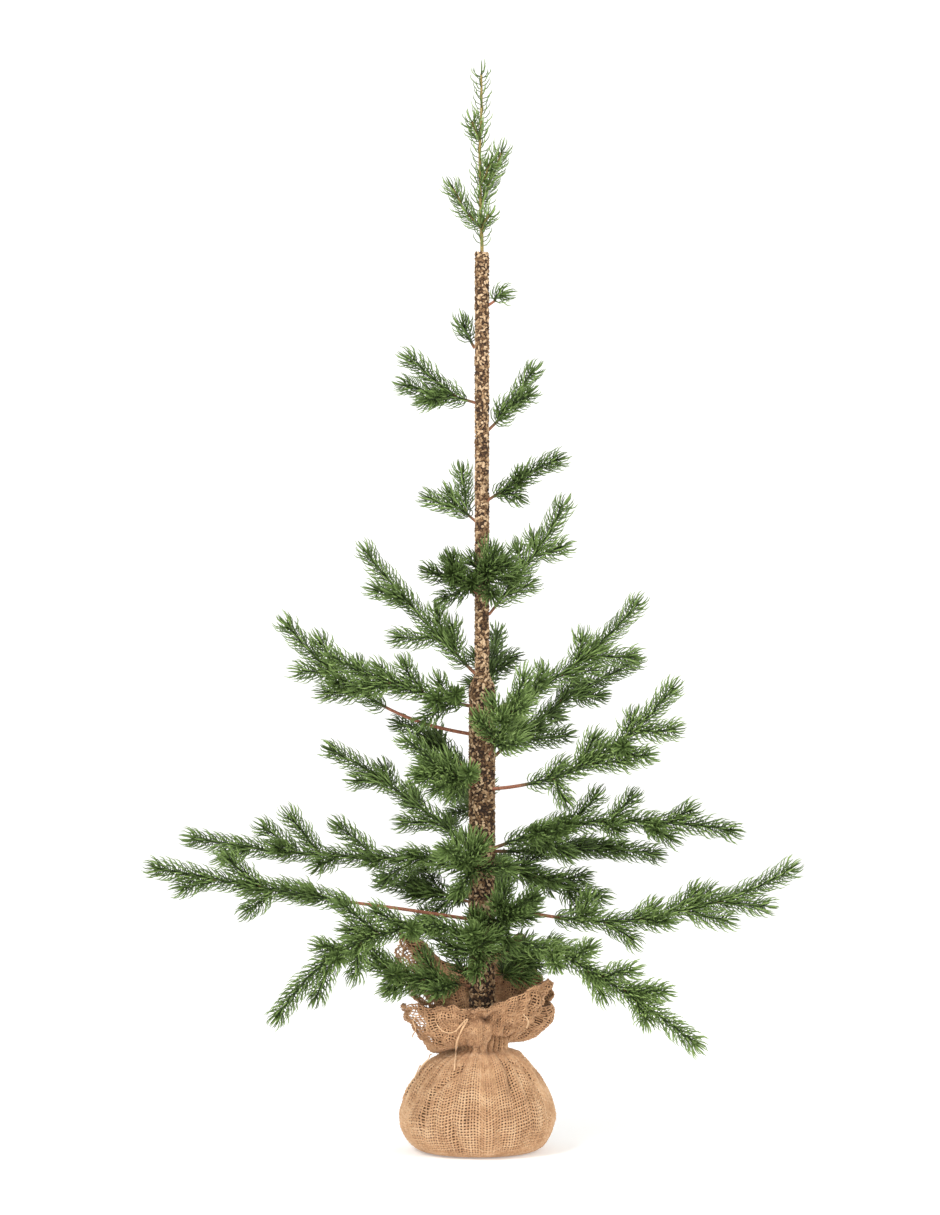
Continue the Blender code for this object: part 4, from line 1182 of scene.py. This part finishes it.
def open_the_edges(material):
    """Lets light through the cloth under the loose weave at the collar's two free edges."""
    tree = material.node_tree
    shader = tree.nodes["Principled BSDF"]
    spot = add_node(tree, "ShaderNodeSeparateXYZ", [
        ("Vector", add_node(tree, "ShaderNodeUVMap", uv_map="UVMap"))])
    from_middle = math_node(tree, "ABSOLUTE", math_node(tree, "SUBTRACT", spot.outputs["X"], 0.5))
    at_edge = math_node(tree, "GREATER_THAN", from_middle, 0.425)
    high_up = math_node(tree, "GREATER_THAN", spot.outputs["Y"], 0.70)
    shut = math_node(tree, "SUBTRACT", 1.0, math_node(tree, "MULTIPLY", at_edge, high_up))
    tree.links.new(shut, shader.inputs["Alpha"])


open_the_edges(ground_finish)
cloth.data.materials.append(ground_finish)
warps = grow("burlap_warps", cloth.data.copy(), weave_tree, {
    "Yarns": WARPS, "Crossed": WEFTS, "Across": False, "Radius": YARN_RADIUS, "Lift": YARN_LIFT,
    "Ragged": 0.012, "Seed": 2, "Material": jute_finish})
wefts = grow("burlap_wefts", cloth.data.copy(), weave_tree, {
    "Yarns": WEFTS, "Crossed": WARPS, "Across": True, "Radius": YARN_RADIUS, "Lift": YARN_LIFT,
    "Ragged": 0.012, "Seed": 7, "Material": jute_finish})
print(len(warps.data.polygons), len(wefts.data.polygons), "faces of yarn")

# %% [markdown]
# ## Loose yarns and the neck tie
# A few yarns have worked out of the cut edge and hang over the front. The neck is tied with a twine
# of two strands, which mostly sinks into the gathers.

# %% Loose yarns and twine
# Across and height in mm, as seen from the front.
LOOSE_YARNS = [
    [(-37, 109), (-33, 104), (-27, 102), (-22, 104), (-16, 110)],
    [(-22, 103), (-17, 110), (-12, 114), (-17, 104), (-21, 95), (-22, 84), (-23, 72)],
    [(-14, 112), (-19, 100), (-21, 90), (-22, 80)],
    [(-42, 82), (-50, 74), (-56, 62)],
    [(-52, 118), (-57, 112), (-55, 104), (-58, 98)],
    [(34, 118), (38, 112), (37, 105)]]
TWINE_RADIUS = 0.0008
LOOSE_RADIUS = 0.0005


def loose_line(points):
    """A line laid on the front of the cloth along (across, height) points."""
    cloth_points = surface.reshape(-1, 3)
    cloth_points = cloth_points[cloth_points[:, 1] < 0.005]
    line = []
    for x, z in smooth_through(points, np.arange(len(points)),
                               np.linspace(0, len(points) - 1, 24)) / 1000:
        near = np.hypot(cloth_points[:, 0] - x, cloth_points[:, 2] - z) < 0.003
        front = cloth_points[near][:, 1].min() if near.any() else -0.03
        line.append(Vector((x, front - 0.0016, z)))
    return line


def twine_line(strand, ring_radius, height):
    """One strand of a closed two strand twine round the neck."""
    turns, steps = 22, 420
    line = []
    for i in range(steps + 1):
        way = 2 * math.pi * i / steps
        twist = way * turns + math.pi * strand
        reach = ring_radius + TWINE_RADIUS * 0.9 * math.cos(twist)
        line.append(Vector((reach * math.cos(way), reach * math.sin(way),
                            height + TWINE_RADIUS * 0.9 * math.sin(twist))))
    return line


loose = [loose_line(points) for points in LOOSE_YARNS]
loose_yarns = grow("loose_yarns", line_mesh("loose", loose, {
    "thickness": [[LOOSE_RADIUS] * len(line) for line in loose]}), stem_tree, {
    "Sides": 6, "Material": pale_finish})
low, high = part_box("neck_twine")
strands = [twine_line(strand, high.x - 0.0014, (low.z + high.z) / 2) for strand in (0, 1)]
twine = grow("two_strand_twine", line_mesh("twine", strands, {
    "thickness": [[TWINE_RADIUS] * len(line) for line in strands]}), stem_tree, {
    "Sides": 6, "Material": jute_finish})
print(len(loose_yarns.data.polygons), len(twine.data.polygons), "faces")

# %% Tie the wrap into the model
for piece in (cloth, warps, wefts, loose_yarns):
    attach(piece, "stand")
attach(twine, "stand")
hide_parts("neck_twine")
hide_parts("burlap_sack")
print("wrap done")

# %% [markdown]
# ## What is hidden inside
# The rod, the paper tube, the plastic tub and the cement in it are never seen while the tree is
# whole, but they show when a part is taken out. They keep their modelled shapes and get plain real
# finishes: drawn steel with fine lines, kraft paper, moulded plastic and grey cast cement.

# %% Finishes of the hidden parts
def make_hidden_finish(name, stops, roughness, grain_scale, stretch, metallic=0.0, bump=0.2):
    """A finish with one fine grain; stretch squeezes the grain along Z to draw it into lines."""
    material, tree, shader = new_material(name, roughness, metallic=metallic)
    place = tree.nodes.new("ShaderNodeTexCoord")
    drawn = add_node(tree, "ShaderNodeMapping", [("Vector", place.outputs["Object"])])
    drawn.inputs["Scale"].default_value = (1.0, 1.0, stretch)
    grain = add_node(tree, "ShaderNodeTexNoise", [("Vector", drawn)],
                     Scale=grain_scale, Detail=5.0)
    ramp = colour_ramp(tree, grain, stops)
    dress(tree, shader, ramp, grain, bump, 0.0003)
    return material


HIDDEN = {
    "core_rod": make_hidden_finish("drawn_steel", [(0.3, "#8d8f92"), (0.7, "#b4b6b8")], 0.35,
                                   900.0, 0.02, metallic=1.0, bump=0.1),
    "lower_trunk_tube": make_hidden_finish("kraft_paper", [(0.3, "#a37f58"), (0.7, "#bf9a70")],
                                           0.85, 600.0, 1.0),
    "ballast_tub": make_hidden_finish("moulded_black_plastic", [(0.3, "#191919"),
                                                                (0.7, "#242424")], 0.45, 400.0, 1.0),
    "ballast": make_hidden_finish("cast_cement", [(0.3, "#8b8781"), (0.7, "#aca8a1")], 0.95,
                                  350.0, 1.0, bump=0.7)}
for node, finish in HIDDEN.items():
    data = frame["nodes"][node].data
    data.materials.clear()
    data.materials.append(finish)
print(", ".join(HIDDEN))
